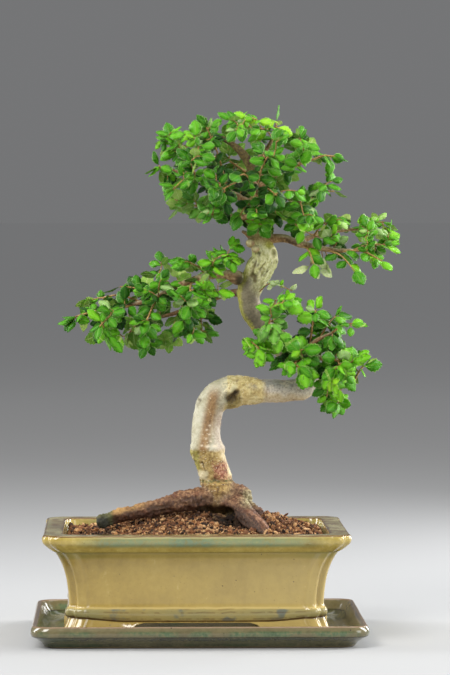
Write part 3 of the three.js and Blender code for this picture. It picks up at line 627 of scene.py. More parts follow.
def smooth_line(points, count):
    """Points at even distances along a centripetal Catmull-Rom spline.

    Knots are spaced by the square root of the distance between points. The end tangents of a span are
    t1 = ((b-a)/ab - (c-a)/(ab+bc) + (c-b)/bc) bc and the same for t2 one span on. Hermite's cubic joins
    them."""
    p = np.asarray(points, float)
    p = np.vstack([2 * p[0] - p[1], p, 2 * p[-1] - p[-2]])
    a, b, c, d = p[:-3], p[1:-2], p[2:-1], p[3:]
    ab, bc, cd = [np.sqrt(np.linalg.norm(v - u, axis=1))[:, None] for u, v in ((a, b), (b, c), (c, d))]
    t1 = ((b - a) / ab - (c - a) / (ab + bc) + (c - b) / bc) * bc
    t2 = ((c - b) / bc - (d - b) / (bc + cd) + (d - c) / cd) * bc
    t = np.linspace(0, 1, SPLINE_STEPS, endpoint=False)[None, :, None]
    b, c, t1, t2 = b[:, None], c[:, None], t1[:, None], t2[:, None]
    cubic = b + t1 * t + (3 * (c - b) - 2 * t1 - t2) * t**2 + (2 * (b - c) + t1 + t2) * t**3
    fine = np.vstack([cubic.reshape(-1, 3), p[-2]])
    run = np.concatenate([[0], np.cumsum(np.linalg.norm(np.diff(fine, axis=0), axis=1))])
    places = np.linspace(0, run[-1], count)
    return np.stack([np.interp(places, run, axis) for axis in fine.T], 1)


def line_length(line):
    return np.linalg.norm(np.diff(line, axis=0), axis=1).sum()


def frames_along(line):
    """Three directions at each point: ahead, to the side, and the third one square to both."""
    ahead = unit(np.gradient(line, axis=0))
    straight = unit(line[-1] - line[0])
    reference = np.eye(3)[np.argmin(np.abs(straight))]
    side = unit(np.cross(ahead, reference))
    return ahead, side, np.cross(ahead, side)


def limb(line, radii, sides):
    """Rings round a line: centre + radius (cos a side + sin a third). Closed by a point at each end."""
    ahead, side, third = frames_along(line)
    angle = np.linspace(0, 2 * np.pi, sides, endpoint=False)[None, :, None]
    radii = np.broadcast_to(radii, len(line))[:, None, None]
    rings = line[:, None] + radii * (np.cos(angle) * side[:, None] + np.sin(angle) * third[:, None])
    ends = [line[0] - 0.4 * radii[0, 0] * ahead[0], line[-1] + 0.6 * radii[-1, 0] * ahead[-1]]
    return np.concatenate([rings.reshape(-1, 3), ends]), closed_rings(len(line), sides)


def gathered(shapes):
    """One array of points and one list of faces from many shapes of points and faces."""
    points, faces, start = [], {}, 0
    for shape_points, shape_faces in shapes:
        points.append(shape_points)
        for part in shape_faces:
            faces.setdefault(part.shape[1], []).append(part + start)
        start += len(shape_points)
    return np.concatenate(points), [np.concatenate(parts) for parts in faces.values()]


# %% The skeleton: a line and pairs of place and radius
TRUNK_LINE = [
    (19, 2, 84), (18.5, 1, 104), (17, 0, 125), (12, 0, 141), (8, 0, 157), (7, 2, 176), (10, 3, 192),
    (17, 3, 200.5), (27, 3, 204.5), (37, 2, 205.5), (47, 0, 205.3), (58, -2, 205.8), (73, -5, 206),
    (87, -7, 208), (94, -6, 217), (87, 0, 230), (71, 6, 242), (56, 10, 257), (46, 12, 273),
    (43, 12, 285), (46, 12, 295), (52, 11, 307), (57, 10, 317), (53, 8, 329), (50, 7, 340),
    (48, 6, 356), (47, 4, 375), (45, 2, 393), (35, 0, 408), (20, 0, 419),
]
TRUNK_RADII = [
    (0, 19), (0.04, 18.5), (0.075, 16), (0.1, 13.4), (0.14, 13), (0.165, 13.4), (0.19, 12.3),
    (0.23, 11.9), (0.265, 12.8), (0.3, 13.8), (0.325, 12), (0.35, 10.5), (0.4, 9.6), (0.44, 9.6),
    (0.5, 9), (0.6, 8.8), (0.64, 9.4), (0.665, 9.1), (0.69, 10), (0.717, 12), (0.743, 10.8),
    (0.771, 8.4), (0.797, 6.9), (0.833, 6), (0.876, 5.2), (0.92, 4.3), (0.96, 3.3), (1, 2),
]
TWIG_TAPER = [(0, 3.2), (0.4, 2.2), (1, 1.4)]
THIN_TAPER = [(0, 2.8), (0.5, 2), (1, 1.4)]
ROOTS = {
    "left": (
        [(14, -2, 112), (-4, -13, 115), (-19, -20, 113), (-41, -25, 108), (-66, -28, 103), (-82, -30, 97)],
        [(0, 11), (0.2, 9), (0.45, 7.2), (0.8, 5.6), (1, 4.4)],
    ),
    "front_right": (
        [(20, -4, 110), (34, -17, 107), (44, -38, 99), (53, -58, 92), (60, -70, 82)],
        [(0, 12), (0.3, 9), (0.7, 6.8), (1, 4)],
    ),
    "right": (
        [(22, 2, 112), (38, 0, 108), (50, 1, 102), (60, 4, 92)],
        [(0, 11), (0.5, 6.5), (0.8, 5.2), (1, 3.6)],
    ),
    "back": (
        [(16, 6, 108), (8, 26, 104), (-4, 44, 97), (-14, 58, 86)],
        [(0, 11), (0.4, 7.5), (0.8, 5.5), (1, 3.5)],
    ),
    "back_right": (
        [(20, 4, 108), (36, 20, 102), (50, 34, 95), (62, 44, 84)], [(0, 10), (0.4, 7), (0.8, 5), (1, 3.5)]
    ),
}
BRANCHES = {
    "left": (
        [(45, 12, 296), (28, 8, 303), (12, 4, 303), (-15, -2, 295), (-40, -8, 283), (-62, -12, 277),
         (-82, -14, 270)],
        [(0, 4.6), (0.25, 3.4), (0.6, 2.4), (1, 1.5)],
    ),
    "left_back": (
        [(45, 12, 288), (26, 20, 287), (4, 26, 279), (-20, 26, 270), (-44, 24, 264)],
        [(0, 4), (0.3, 2.8), (1, 1.4)],
    ),
    "right": (
        [(53, 9, 333), (73, 3, 334), (84, -2, 330), (97, -6, 327), (115, -9, 324), (130, -12, 324)],
        [(0, 4.4), (0.3, 3.4), (0.7, 2.6), (1, 1.8)],
    ),
    "right_back": ([(84, -2, 330), (98, 8, 336), (118, 18, 340), (138, 22, 342)], THIN_TAPER),
    "low": (
        [(90, -4, 222), (86, -20, 231), (88, -36, 240), (98, -46, 250), (110, -50, 256)],
        [(0, 5), (0.3, 3.4), (0.7, 2.4), (1, 1.5)],
    ),
    "low_right": (
        [(88, -30, 237), (104, -34, 234), (120, -34, 226), (130, -34, 216)], [(0, 3), (0.5, 2), (1, 1.4)]
    ),
    "low_left": ([(88, -36, 240), (76, -40, 250), (66, -38, 262), (62, -34, 272)], THIN_TAPER),
    "crown_left": (
        [(49, 6, 360), (36, -4, 368), (16, -10, 377), (-4, -12, 385), (-20, -10, 391)],
        [(0, 3.6), (0.4, 2.6), (1, 1.4)],
    ),
    "crown_low_left": ([(49, 8, 344), (36, 6, 350), (18, 10, 355), (0, 14, 361)], TWIG_TAPER),
    "crown_right": (
        [(47, 4, 372), (60, -2, 384), (78, -6, 394), (96, -8, 400)], [(0, 3.4), (0.4, 2.4), (1, 1.4)]
    ),
    "crown_low_right": ([(49, 7, 348), (62, 10, 357), (80, 14, 364), (98, 14, 369)], TWIG_TAPER),
    "crown_back": ([(48, 5, 366), (48, 20, 378), (44, 36, 388), (36, 48, 394)], TWIG_TAPER),
    "crown_front": ([(49, 5, 362), (50, -12, 371), (48, -28, 379), (42, -42, 384)], TWIG_TAPER),
    "crown_top": ([(45, 2, 392), (54, 4, 404), (62, 4, 416), (66, 2, 426)], [(0, 2.6), (0.5, 2), (1, 1.3)]),
}
STUBS = [
    ([(30, -4, 118), (37, -6, 118), (43, -7, 116)], [(0, 9), (0.6, 7), (1, 4.5)]),
    ([(40, -6, 112), (48, -12, 106), (53, -15, 104)], [(0, 5), (1, 3.2)]),
    ([(50, 6, 350), (38, -4, 352), (30, -8, 350)], [(0, 3.2), (1, 2)]),
    ([(51, 6, 329), (45.5, 1, 330), (42.5, -2, 330.5)], [(0, 3.4), (1, 2.3)]),
    ([(52, 5, 325), (49, -1, 325), (47.6, -3.5, 325)], [(0, 3.0), (1, 2.0)]),
    ([(47, 6, 333), (41, 2, 338), (37, 0, 340)], [(0, 2.6), (1, 1.4)]),
]


def radius_along(pairs, places):
    place, radius = np.array(pairs, float).T
    return np.interp(places, place, radius)


def limb_parts(points, pairs, step, sides):
    """A limb's line with a point every `step` millimetres, its radii, and its skin."""
    coarse = smooth_line(points, COARSE_POINTS)
    count = max(int(line_length(coarse) / step), 6)
    line = smooth_line(points, count)
    radii = radius_along(pairs, np.linspace(0, 1, count))
    return line, radii, limb(line, radii, sides)


wood = [("trunk", *limb_parts(TRUNK_LINE, TRUNK_RADII, 3.0, 40))]
wood += [("root", *limb_parts(*root, 3.0, 28)) for root in ROOTS.values()]
wood += [("root", *limb_parts(*stub, 3.0, 24)) for stub in STUBS[:2]]
wood += [("branch", *limb_parts(*branch, 2.5, 16)) for branch in list(BRANCHES.values()) + STUBS[2:]]
print("limbs:", len(wood))

# %% [markdown]
# Limbs that only cross each other look like pipes. A voxel Remesh turns them into one skin, and a Smooth
# modifier melts the seams where a root or branch leaves the trunk. Knobs, hollows, fibres and bark are
# then added by moving each point of that skin along its own normal.

# %% One skin for all the wood
VOXEL = 0.95
MELT_SHARE = 0.5
MELT_ROUNDS = 7
raw_points, raw_faces = gathered([skin for _, _, _, skin in wood])
raw = bpy.data.objects.new("raw_wood", make_mesh("raw_wood", raw_points, raw_faces))
bpy.context.scene.collection.objects.link(raw)
remesh = raw.modifiers.new("one skin", "REMESH")
remesh.mode = "VOXEL"
remesh.voxel_size = VOXEL * MM
melt = raw.modifiers.new("melted seams", "SMOOTH")
melt.factor = MELT_SHARE
melt.iterations = MELT_ROUNDS
skin = raw.evaluated_get(bpy.context.evaluated_depsgraph_get()).to_mesh()


def read_out(rows, key, columns, per_row, kind=np.float32):
    """One value of all rows of a mesh as an array with the given number of columns."""
    values = np.empty(len(rows) * per_row, kind)
    rows.foreach_get(key, values)
    return values.reshape(-1, columns)


skin_points = read_out(skin.vertices, "co", 3, 3) / MM
skin_normals = read_out(skin.vertices, "normal", 3, 3)
skin_faces = read_out(skin.loops, "vertex_index", 4, 1, np.int32)
raw.to_mesh_clear()
bpy.data.objects.remove(raw)
print("wood skin:", len(skin_points), "points,", len(skin_faces), "faces")


# %% Where each point of the skin lies on the skeleton
FAR = 1e9
POINTS_AT_ONCE = 8192
GRAIN_SHIFT = 37


def nearest_limb(points):
    """For each point and kind of limb: its distance from the nearest surface, the grain and the lean there.

    The grain is the place seen from the limb's line: to the side, to the third direction, and the run
    along the line, so that a pattern on it follows the limb round every bend. The lean is how far the
    point lies to the right of that line, as a share of the limb's radius."""
    kinds = ("trunk", "root", "branch")
    depth = np.full((len(kinds), len(points)), FAR)
    grain = np.zeros((len(points), 3))
    lean = np.zeros(len(points))
    best = np.full(len(points), FAR)
    for start, (kind, line, radii, _) in enumerate(wood):
        ahead, side, third = frames_along(line)
        step = line_length(line) / (len(line) - 1)
        row = kinds.index(kind)
        for block in np.array_split(np.arange(len(points)), max(len(points) // POINTS_AT_ONCE, 1)):
            offset = points[block][:, None] - line[None]
            distance = np.linalg.norm(offset, axis=2) - radii[None]
            pick = distance.argmin(1)
            close = distance[np.arange(len(block)), pick]
            depth[row, block] = np.minimum(depth[row, block], close)
            arm = offset[np.arange(len(block)), pick]
            along = pick * step + (arm * ahead[pick]).sum(1)
            here = np.stack(
                [(arm * side[pick]).sum(1), (arm * third[pick]).sum(1), along + GRAIN_SHIFT * start], 1
            )
            grain[block] = np.where((close < best[block])[:, None], here, grain[block])
            lean[block] = np.where(close < best[block], arm[:, 0] / radii[pick], lean[block])
            best[block] = np.minimum(best[block], close)
    return depth, grain, lean


def soft_share(ahead, soft):
    """1 / (1 + exp(ahead / soft)): 1 well inside a kind of limb, 0 well outside it."""
    return 1 / (1 + np.exp(np.clip(ahead / soft, -30, 30)))


limb_depth, grain, lean = nearest_limb(skin_points)
root_share = soft_share(limb_depth[1] - np.minimum(limb_depth[0], limb_depth[2]) - 0.5, 1.6)
twig_share = soft_share(limb_depth[2] - np.minimum(limb_depth[0], limb_depth[1]), 0.8)

# %% Knobs, hollows, fibres and bark
# Each scar is a place, its reach and how far it stands out, or in where that is negative
SCARS = [
    ((64, -1, 321), 7.0, 3.0), ((66, 0, 314), 5.0, 2.0), ((64.5, -4, 321.5), 2.7, -3.2),
    ((58, 0, 327), 4.0, 1.4), ((48, 1, 302), 1.7, -2.0), ((49.5, 1, 306), 1.6, -1.8),
    ((51, 1, 298), 1.5, -1.4), ((55, 0, 303), 2.0, -1.2), ((46, 2, 309), 2.2, 1.2),
    ((51, -1, 311), 2.0, -1.1), ((52, 1, 285), 2.6, -1.6), ((33, 10, 300), 6.5, 3.2),
    ((47, 1, 318), 2.0, -2.4), ((51, -1, 321), 2.0, -2.4), ((41, 3, 324), 3.0, 1.6),
    ((43.5, 2, 330), 3.4, 3.0), ((48.5, 0, 325), 3.0, 2.2), ((45, 2, 340), 4.0, 0.8),
    ((39, 8, 336), 3.6, 1.6), ((50, -1, 360), 4.0, 1.0), ((1, -4, 198.5), 1.8, -1.0),
    ((1, -4, 201.5), 2.4, 0.7), ((-6, -2, 154), 3.2, 1.6), ((-5, -4, 149), 2.4, 2.2),
    ((-2, -6, 151), 1.4, -1.0), ((21, -5, 158), 4.0, 1.3), ((22, -4, 148), 3.0, -1.0),
    ((26, -4, 135), 4.0, 1.2), ((3, -7, 140), 3.0, -0.9), ((2, -8, 128), 7.0, 1.0),
    ((38, -8, 120), 7.0, 1.6), ((15, -15, 119), 9.0, 1.8), ((32, -12, 118), 6.0, 1.2),
    ((33, -3, 192.5), 3.6, 1.6), ((42, -6, 195.5), 3.4, 1.2), ((25, -5, 190), 3.5, 0.9),
    ((55, -9, 201), 3.4, 1.3), ((54, -8, 210), 3.4, 1.0), ((33.5, -7, 215), 2.4, -1.2),
    ((44, -9, 206), 3.2, 0.9), ((27, -9, 210), 4.0, 0.6), ((98, -8, 212), 7.0, 1.4),
    ((40, 4, 268), 5.0, 0.9), ((62, -9, 203), 3.0, 0.6), ((-83, -34, 98), 5.0, 2.6),
    ((-77, -36, 93), 5.0, 2.2), ((-80, -28, 102), 3.4, 1.6), ((-72, -33, 106), 4.0, 1.4),
    ((40, -12, 117), 4.0, 1.6), ((38, -14, 111), 4.0, 1.2), ((66, -8, 309), 3.4, 1.4),
    ((86, -2, 331), 3.6, 1.6), ((31.5, -10, 197.5), 4.2, -1.7),
]
# Long hollows and ridges: two ends, the reach round the line between them at each end, and the height.
# The first two are the slit in the low bend and the dark hollow between the roots.
SLITS = [
    ((26.6, -9.7, 199.4), (32.4, -10.5, 205.2), 4.0, 2.5, -2.8),
    ((4, -17, 102), (31, -19, 103), 6.2, 6.2, -7.5), ((48.3, 1, 315), (44.8, 1, 302), 1.1, 1.5, -1.8),
    ((46.6, 1, 303), (48.9, 1, 295), 1.4, 0.9, -1.9), ((55.4, 0, 309), (53, 0, 299.5), 1.0, 1.2, -1.4),
    ((41, 3, 316), (38, 3, 308), 1.0, 1.0, -1.2), ((50.5, -1, 322), (44, 1, 318), 1.2, 1.2, -1.8),
    ((58, -1, 312), (50, 1, 294), 1.8, 1.2, 1.5), ((44, 1, 314), (41, 2, 300), 1.6, 1.2, 1.1),
    ((61, -2, 328), (69, -1, 318), 1.8, 1.8, 1.8), ((60, -2, 316), (66, -1, 313), 1.5, 1.6, 1.6),
    ((19, -9, 200), (30, -11, 212), 1.8, 1.8, 1.0), ((21, -9, 196), (23.5, -10, 204), 1.3, 1.6, 1.0),
    ((27, -10, 193), (43, -9, 195.5), 2.2, 2.0, 0.9), ((53.5, -9, 198), (56, -9, 212), 1.5, 1.3, 1.0),
    ((58.5, -9, 199), (59.5, -9, 210), 1.2, 1.2, -0.6), ((40, -9, 212), (46, -10, 204), 1.6, 1.2, -0.7),
    ((3, -11, 146), (8, -13, 131), 0.8, 0.8, -1.0), ((26, -9, 152), (27, -9, 140), 0.7, 0.8, -0.9),
    ((8, -14, 128), (24, -16, 126), 1.6, 1.6, 1.2), ((12, -16, 122), (34, -16, 121), 2.2, 2.4, 1.4),
    ((-3, -8, 138), (10, -14, 139.5), 0.8, 0.6, -1.1),
    ((22.2, -10, 194), (30.2, -10, 209.5), 1.8, 2.4, 0.9), ((42, -40, 107), (56, -62, 96), 1.4, 1.2, 1.3),
    ((37, -30, 104), (50, -58, 91), 1.2, 1.0, 1.1), ((10, -19, 97), (36, -24, 93), 7.0, 7.0, -3.0),
]
# Rows of SLITS that also colour the bark: the slit and its pale lip, the dark hollows between and under
# the roots, the furrows of the burl, and the cracks of the old base. All but the lip are painted dark as
# shade.
SLIT, SLIT_LIP, ROOT_HOLLOW, UNDER_ROOTS = 0, 22, 1, 25
BURL_FURROWS, BASE_CRACKS, GRAFT_CRACK = slice(2, 7), slice(17, 19), 21
# Clods of soil cling round the left root's end
CLODS, CLODS_SEED, CLODS_REACH = 26, 23, 7.5
ROOT_END = np.array([-80, -34, 97])
clods = np.random.default_rng(CLODS_SEED)
for away in unit(clods.normal(size=(CLODS, 3))) * CLODS_REACH:
    SCARS.append((ROOT_END + away * [1.1, 1, 1], clods.uniform(1.3, 2.6), clods.uniform(-0.9, 1.5)))
push = np.zeros(len(skin_points))
for place, reach, height in SCARS:
    push += height * np.exp(-(np.linalg.norm(skin_points - place, axis=1) / reach) ** 2)
slit_share = []
for first, second, wide, narrow, depth in SLITS:
    first, second = np.array(first, float), np.array(second, float)
    run = np.clip((skin_points - first) @ (second - first) / ((second - first) @ (second - first)), 0, 1)
    away = np.linalg.norm(skin_points - first - run[:, None] * (second - first), axis=1)
    slit_share.append(np.exp(-((away / (wide + (narrow - wide) * run)) ** 4)))
    push += depth * slit_share[-1]
thick = 1 - 0.8 * twig_share
push += thick * 0.55 * layered_noise(skin_points, 9.0, 3, seed=11)
height = skin_points[:, 2]
fibre = layered_noise(grain * [1, 1, 0.2], 2.4, 3, seed=12)
crumb = layered_noise(skin_points, 2.2, 3, seed=15)
old_base = np.clip((158 - height) / 6, 0, 1) * np.clip((height - 96) / 8, 0, 1)
burl = np.clip((height - 294) / 8, 0, 1) * np.clip((334 - height) / 8, 0, 1)
push += (
    (fibre * (0.1 + 0.35 * root_share + 0.5 * burl) + crumb * (0.05 + 0.6 * root_share + 0.35 * old_base))
    * thick
)
push += 0.14 * thick * layered_noise(grain * [0.5, 0.5, 1.6], 2.0, 2, seed=13)
callus = np.clip((skin_points[:, 0] - 24) / 5, 0, 1) * np.clip((58 - skin_points[:, 0]) / 4, 0, 1)
callus *= (height > 186) * (height < 224) * (limb_depth[0] < 2)
push += callus * (0.45 * crumb + 0.7 * layered_noise(skin_points, 6.0, 2, seed=17))
# Rings round the old base: their height, how thin they are, and how far they swell out or sink in
RINGS = [(131.5, 1.0, -1.0), (128.0, 1.8, 0.9), (158.5, 2.4, 0.8), (153.0, 0.9, -0.4), (143.0, 0.8, -0.4)]
for level, thin, swell in RINGS:
    wander = 3.6 * lattice_noise(skin_points, 8.0, seed=16) + 1.6 * lattice_noise(skin_points, 3.0, seed=18)
    ring = np.exp(-(((height + wander - level) / thin) ** 2))
    push += (
        swell * ring * (1 - root_share) * (limb_depth[0] < 2)
        * (0.8 + 0.5 * lattice_noise(skin_points, 5.0, seed=14))
    )
wood_points = skin_points + skin_normals * push[:, None]
print("bark relief from", push.min().round(2), "to", push.max().round(2), "mm")

# %% [markdown]
# The bark is thin and smooth: pale grey on the light side, lilac-brown in a stripe, dotted with pale pores
# that lie across the grain. Below the graft it is cracked and yellow, the inside of the low bend is warm
# callus, the upper trunk is olive with algae, and the roots are stained by the soil. Painted shade darkens
# the hollows, cracks, sunken places and the roots' undersides, and painted highlights lighten right edges.


# %% Bark
def bark():
    skin = Finish("thin grey-brown bark")
    x, z, named = skin.x, skin.z, skin.named
    noise, mix, ramp, paint = skin.noise, skin.mix, skin.ramp, skin.paint
    root, twig, lean = named("root"), named("twig"), named("lean")
    grain_place = named("grain", "Vector")
    drawn = skin.stretched(1, 1, 0.14, grain_place)
    crossed = skin.stretched(0.55, 0.55, 1.5, grain_place)
    patches = noise(15, 5, 0.6)
    fine = noise(2.2, 6, 0.7, seed=2)
    fibres = noise(2.6, 5, 0.65, vector=drawn, seed=3)
    side = lean + (patches - 0.5) * 0.7

    # The smooth stem: grey-cream on the left, a brown stripe in front, lilac-cream on the right
    skin.colour = ramp(
        patches * 0.65 + fine * 0.35,
        (0.34, 142, 132, 104), (0.45, 178, 172, 144),
        (0.54, 198, 194, 170), (0.66, 214, 212, 194),
    )
    rosy_side = ramp(
        patches * 0.5 + fine * 0.5, (0.36, 158, 134, 112), (0.5, 198, 182, 160), (0.64, 222, 214, 196)
    )
    paint(side.rise(0.2, 0.75) * 0.9, rosy_side)
    lilac_speck = skin.spots(1.8, vector=crossed).fall(0.2, 0.4) * side.rise(0.2, 0.5)
    paint(lilac_speck * 0.4, (156, 128, 124))
    brown = ramp(fine * 0.4 + fibres * 0.6, (0.38, 104, 70, 34), (0.5, 146, 108, 64), (0.62, 178, 144, 98))
    from_line = x - (z - 170) * 0.2 - 6.6 + (patches - 0.5) * 5
    stripe = from_line.band(0, 1.2, 6.5) * z.rise(150, 157) * z.fall(200, 214)
    paint(stripe * 0.9, brown)
    upward = named("up")

    # The callus in the low bend and the ashen arm behind it
    callus = ramp(
        fine * 0.6 + patches * 0.4,
        (0.36, 140, 114, 60), (0.46, 192, 168, 106), (0.55, 222, 204, 144), (0.65, 238, 226, 178),
    )
    end = (x - (z - 200) * 0.4 + (fine - 0.5) * 14).rise(54, 58)
    bend = (x + (fine - 0.5) * 3).rise(23.5, 25.5) * (1 - end) * z.rise(186, 190) * z.fall(222, 232)
    low_bend = x.rise(19, 24) * z.rise(184, 190) * (z - x * 0.6).fall(178, 184) * x.fall(52, 60)
    paint(bend.larger(low_bend) * 0.9, callus)
    arm = x.rise(52, 60) * z.rise(190, 196) * z.fall(216, 222)
    ash = ramp(
        fine * 0.6 + patches * 0.4, (0.38, 160, 134, 98), (0.5, 206, 186, 148), (0.62, 226, 214, 186)
    )
    paint(arm * 0.9, ash)
    lilac = arm * (z + (patches - 0.5) * 12).rise(201, 207) * 0.8
    paint(lilac, mix(fine.rise(0.38, 0.56), (164, 152, 142), (222, 214, 202)))
    flap = (x + (fine - 0.5) * 3).rise(19, 23) * x.fall(31, 34) * z.rise(203, 207) * z.fall(213, 216)
    paint(flap * fine.rise(0.4, 0.55) * 0.7, (232, 220, 176))
    inner = (x + (fine - 0.5) * 3).band(30, 4, 4) * (z - x * 0.7).band(175.5, 2.5, 5)
    paint(inner * 0.8, (120, 104, 46))
    topside = upward * (x.rise(40, 48) * z.rise(190, 196) * z.fall(216, 222))
    topside = topside * noise(7, 4, seed=5).rise(0.44, 0.56)
    paint(topside * 0.6, (130, 134, 138))

    # The upper trunk: grey with an olive edge, then the creamy burl, then the tan neck
    grey = ramp(fine * 0.3 + patches * 0.7, (0.36, 46, 41, 26), (0.5, 80, 71, 50), (0.64, 126, 116, 88))
    upper = z.rise(222, 240)
    paint(upper * 0.9, grey)
    olive = ramp(fine, (0.36, 120, 116, 30), (0.5, 160, 156, 62), (0.64, 190, 184, 98))
    paint(upper * side.fall(-0.8, -0.45) * 0.9, olive)
    # Painted highlight: the right edge of the upper trunk is paler.
    paint(upper * side.rise(0.5, 0.85) * 0.5, (176, 162, 140))
    cream = ramp(
        fine * 0.65 + fibres * 0.35,
        (0.34, 112, 106, 52), (0.44, 172, 170, 106), (0.53, 212, 210, 158), (0.63, 234, 232, 198),
    )
    burl = (z + lean * 13 + (patches - 0.5) * 12).rise(290, 304)
    paint(burl * 0.95, cream)
    paint(burl * (abs(lean) + (fine - 0.5) * 0.6).rise(0.6, 0.95) * 0.6, (158, 166, 78))
    speckle = (
        skin.spots(2.4).fall(0.2, 0.4) * noise(5, 3, seed=21).rise(0.48, 0.58) * burl * side.fall(0.1, 0.5)
    )
    paint(speckle * 0.45, (84, 78, 34))
    long_way = skin.stretched(1, 1, 0.2, grain_place)
    wavy = noise(5.0, 2, 0.4, vector=long_way, seed=26)
    lines = abs(wavy - 0.5).fall(0.008, 0.03) * burl * noise(9, 2, seed=27).rise(0.46, 0.54)
    paint(lines * 0.75, (84, 78, 30))
    lichen = named("lichen")
    paint(lichen * 0.85, mix(fine.rise(0.4, 0.6), (150, 150, 30), (204, 204, 84)))
    neck = (z + (fine - 0.5) * 6).rise(326, 334)
    tan = ramp(fine * 0.6 + patches * 0.4, (0.38, 92, 70, 36), (0.5, 150, 126, 72), (0.62, 196, 176, 118))
    paint(neck * 0.85, tan)
    dark_top = (z + (fine - 0.5) * 10).rise(366, 382)
    mossy = ramp(fine, (0.38, 44, 34, 16), (0.5, 84, 66, 34), (0.6, 112, 104, 50), (0.7, 140, 138, 70))
    paint(dark_top * 0.9, mossy)

    # The old base below the graft: cracked ochre, a rosy patch, and the root crown
    place = z + (fine - 0.5) * 5
    cracked = place.fall(154, 158) * (1 - root)
    old = ramp(
        fine * 0.7 + patches * 0.3,
        (0.36, 104, 76, 34), (0.46, 150, 124, 68), (0.56, 184, 158, 98), (0.66, 204, 188, 138),
    )
    paint(cracked * 0.95, old)
    moss_edge = cracked * side.fall(-0.75, -0.55) * z.rise(136, 142)
    paint(moss_edge * 0.7, (142, 140, 52))
    cream_patch = cracked * (x + (patches - 0.5) * 6).band(4, 3, 2.5) * z.band(135, 2.5, 3)
    paint(cream_patch * 0.8, (206, 196, 160))
    # Painted highlight: the right edge of the old base is pale cream.
    right_edge_highlight = cracked * side.rise(0.6, 0.9) * z.rise(130, 136)
    paint(right_edge_highlight * 0.75, (220, 204, 164))
    rosy = cracked * (x + (z - 139) * 0.35 + (patches - 0.5) * 16).band(18.5, 4.5, 3.5)
    rosy = rosy * (place - 2).rise(127, 131) * place.fall(142, 150)
    rosy_bark = ramp(fine, (0.38, 96, 44, 34), (0.5, 146, 80, 64), (0.62, 196, 150, 122))
    paint(rosy * noise(5, 4, seed=6).rise(0.3, 0.5) * 0.85, rosy_bark)
    crown = (z + (patches - 0.5) * 6).fall(128, 134) * (1 - root * 0.6)
    crusty = ramp(
        fine * 0.6 + patches * 0.4,
        (0.36, 66, 44, 22), (0.45, 124, 92, 46), (0.54, 168, 138, 78), (0.66, 200, 176, 116),
    )
    paint(crown * 0.9, crusty)
    scabs = crown * noise(3.0, 4, 0.6, seed=24).rise(0.52, 0.6)
    paint(scabs * 0.7, (74, 46, 28))
    torn = z + (fine - 0.5) * 9 + (patches - 0.5) * 14
    torn = torn.band(131, 0.4, 1.4) * noise(4, 3, seed=23).rise(0.4, 0.56)
    paint(torn * (1 - root) * 0.85, mix(patches.rise(0.4, 0.6), (44, 34, 16), (84, 92, 46)))

    # Roots, stained by the soil, green at the far left tip, with painted shade on their undersides and
    # flanks
    earth = ramp(
        fine * 0.55 + fibres * 0.2 + patches * 0.25,
        (0.38, 46, 28, 20), (0.47, 96, 64, 46), (0.54, 142, 104, 74), (0.64, 186, 152, 114),
    )
    # Painted shade with the soil's stain: roots darken where they face down, and low on the right.
    below = (1 - upward) * z.fall(100, 122) + x.rise(26, 36) * z.fall(108, 118)
    earth = mix(below.rise(0.3, 1.0) * 0.55, earth, (74, 42, 30))
    ridges = fibres.rise(0.5, 0.6) * x.rise(34, 44) * z.fall(104, 112)
    earth = mix(ridges * 0.7, earth, (176, 132, 104))
    ochre = upward * (x + 14 * fine).fall(-46, -30) * patches.rise(0.36, 0.56)
    earth = mix(ochre * 0.62, earth, (200, 158, 94))
    paint(root.larger(z.fall(106, 112)), earth)
    rust = root * noise(8, 4, seed=22).rise(0.52, 0.64)
    paint(rust * 0.5, (112, 66, 42))
    shaded = root * named("sky").fall(0.15, 0.7) * noise(5, 4, 0.6, seed=25).rise(0.34, 0.5)
    paint(shaded * 0.7, (58, 38, 28))
    tip_moss = root * (x + 8 * fine).fall(-70, -66)
    paint(tip_moss * 0.75, (92, 104, 56))
    # Painted shade on the roots right of the trunk, where they face left and down.
    paint(named("umber") * 0.85, mix(fine.rise(0.4, 0.6), (36, 24, 16), (84, 58, 40)))
    grey_moss = (
        z.fall(121, 126) * z.rise(107, 114) * (x + (patches - 0.5) * 16 + (fine - 0.5) * 8).rise(31, 42)
    )
    pale_green = mix(fine.rise(0.4, 0.6), (116, 104, 68), (184, 178, 136))
    paint(grey_moss * 0.75, pale_green)
    paint(named("lump") * 0.92, mix(fine.rise(0.45, 0.62), (20, 20, 16), (56, 58, 48)))

    # Pores, and painted shade in the hollows and crevices
    pore = skin.spots(2.0, vector=crossed).fall(0.12, 0.26)
    pore = pore * (1 - root) * (1 - upper) * noise(7, 2, seed=8).rise(0.4, 0.55)
    paint(pore * 0.7, (232, 220, 192))
    paint(named("pale") * 0.85, (236, 222, 196))
    shoot = ramp(fine, (0.38, 98, 62, 38), (0.52, 152, 110, 74), (0.64, 198, 164, 124))
    pale_upper_side = ramp(
        patches * 0.5 + fine * 0.5, (0.4, 120, 104, 66), (0.52, 170, 160, 128), (0.62, 196, 190, 168)
    )
    # Twigs and branches turn paler grey on their upper sides.
    shoot = mix(upward * patches.rise(0.38, 0.5) * 0.8, shoot, pale_upper_side)
    paint(twig * 0.85, shoot)
    knots = x.band(78, 6, 5) * z.band(326, 8, 5) * (1 - upward) * noise(4, 3, seed=28).rise(0.42, 0.54)
    paint(knots * 0.8, (64, 42, 24))
    # A dark collar where the left branch leaves the trunk.
    paint(named("moss") * 0.9, (46, 42, 18))
    paint(named("cut") * 0.9, (214, 202, 150))
    # Painted shade in the sunken places of the bark.
    paint(named("crevice") * 0.7, (60, 44, 26))
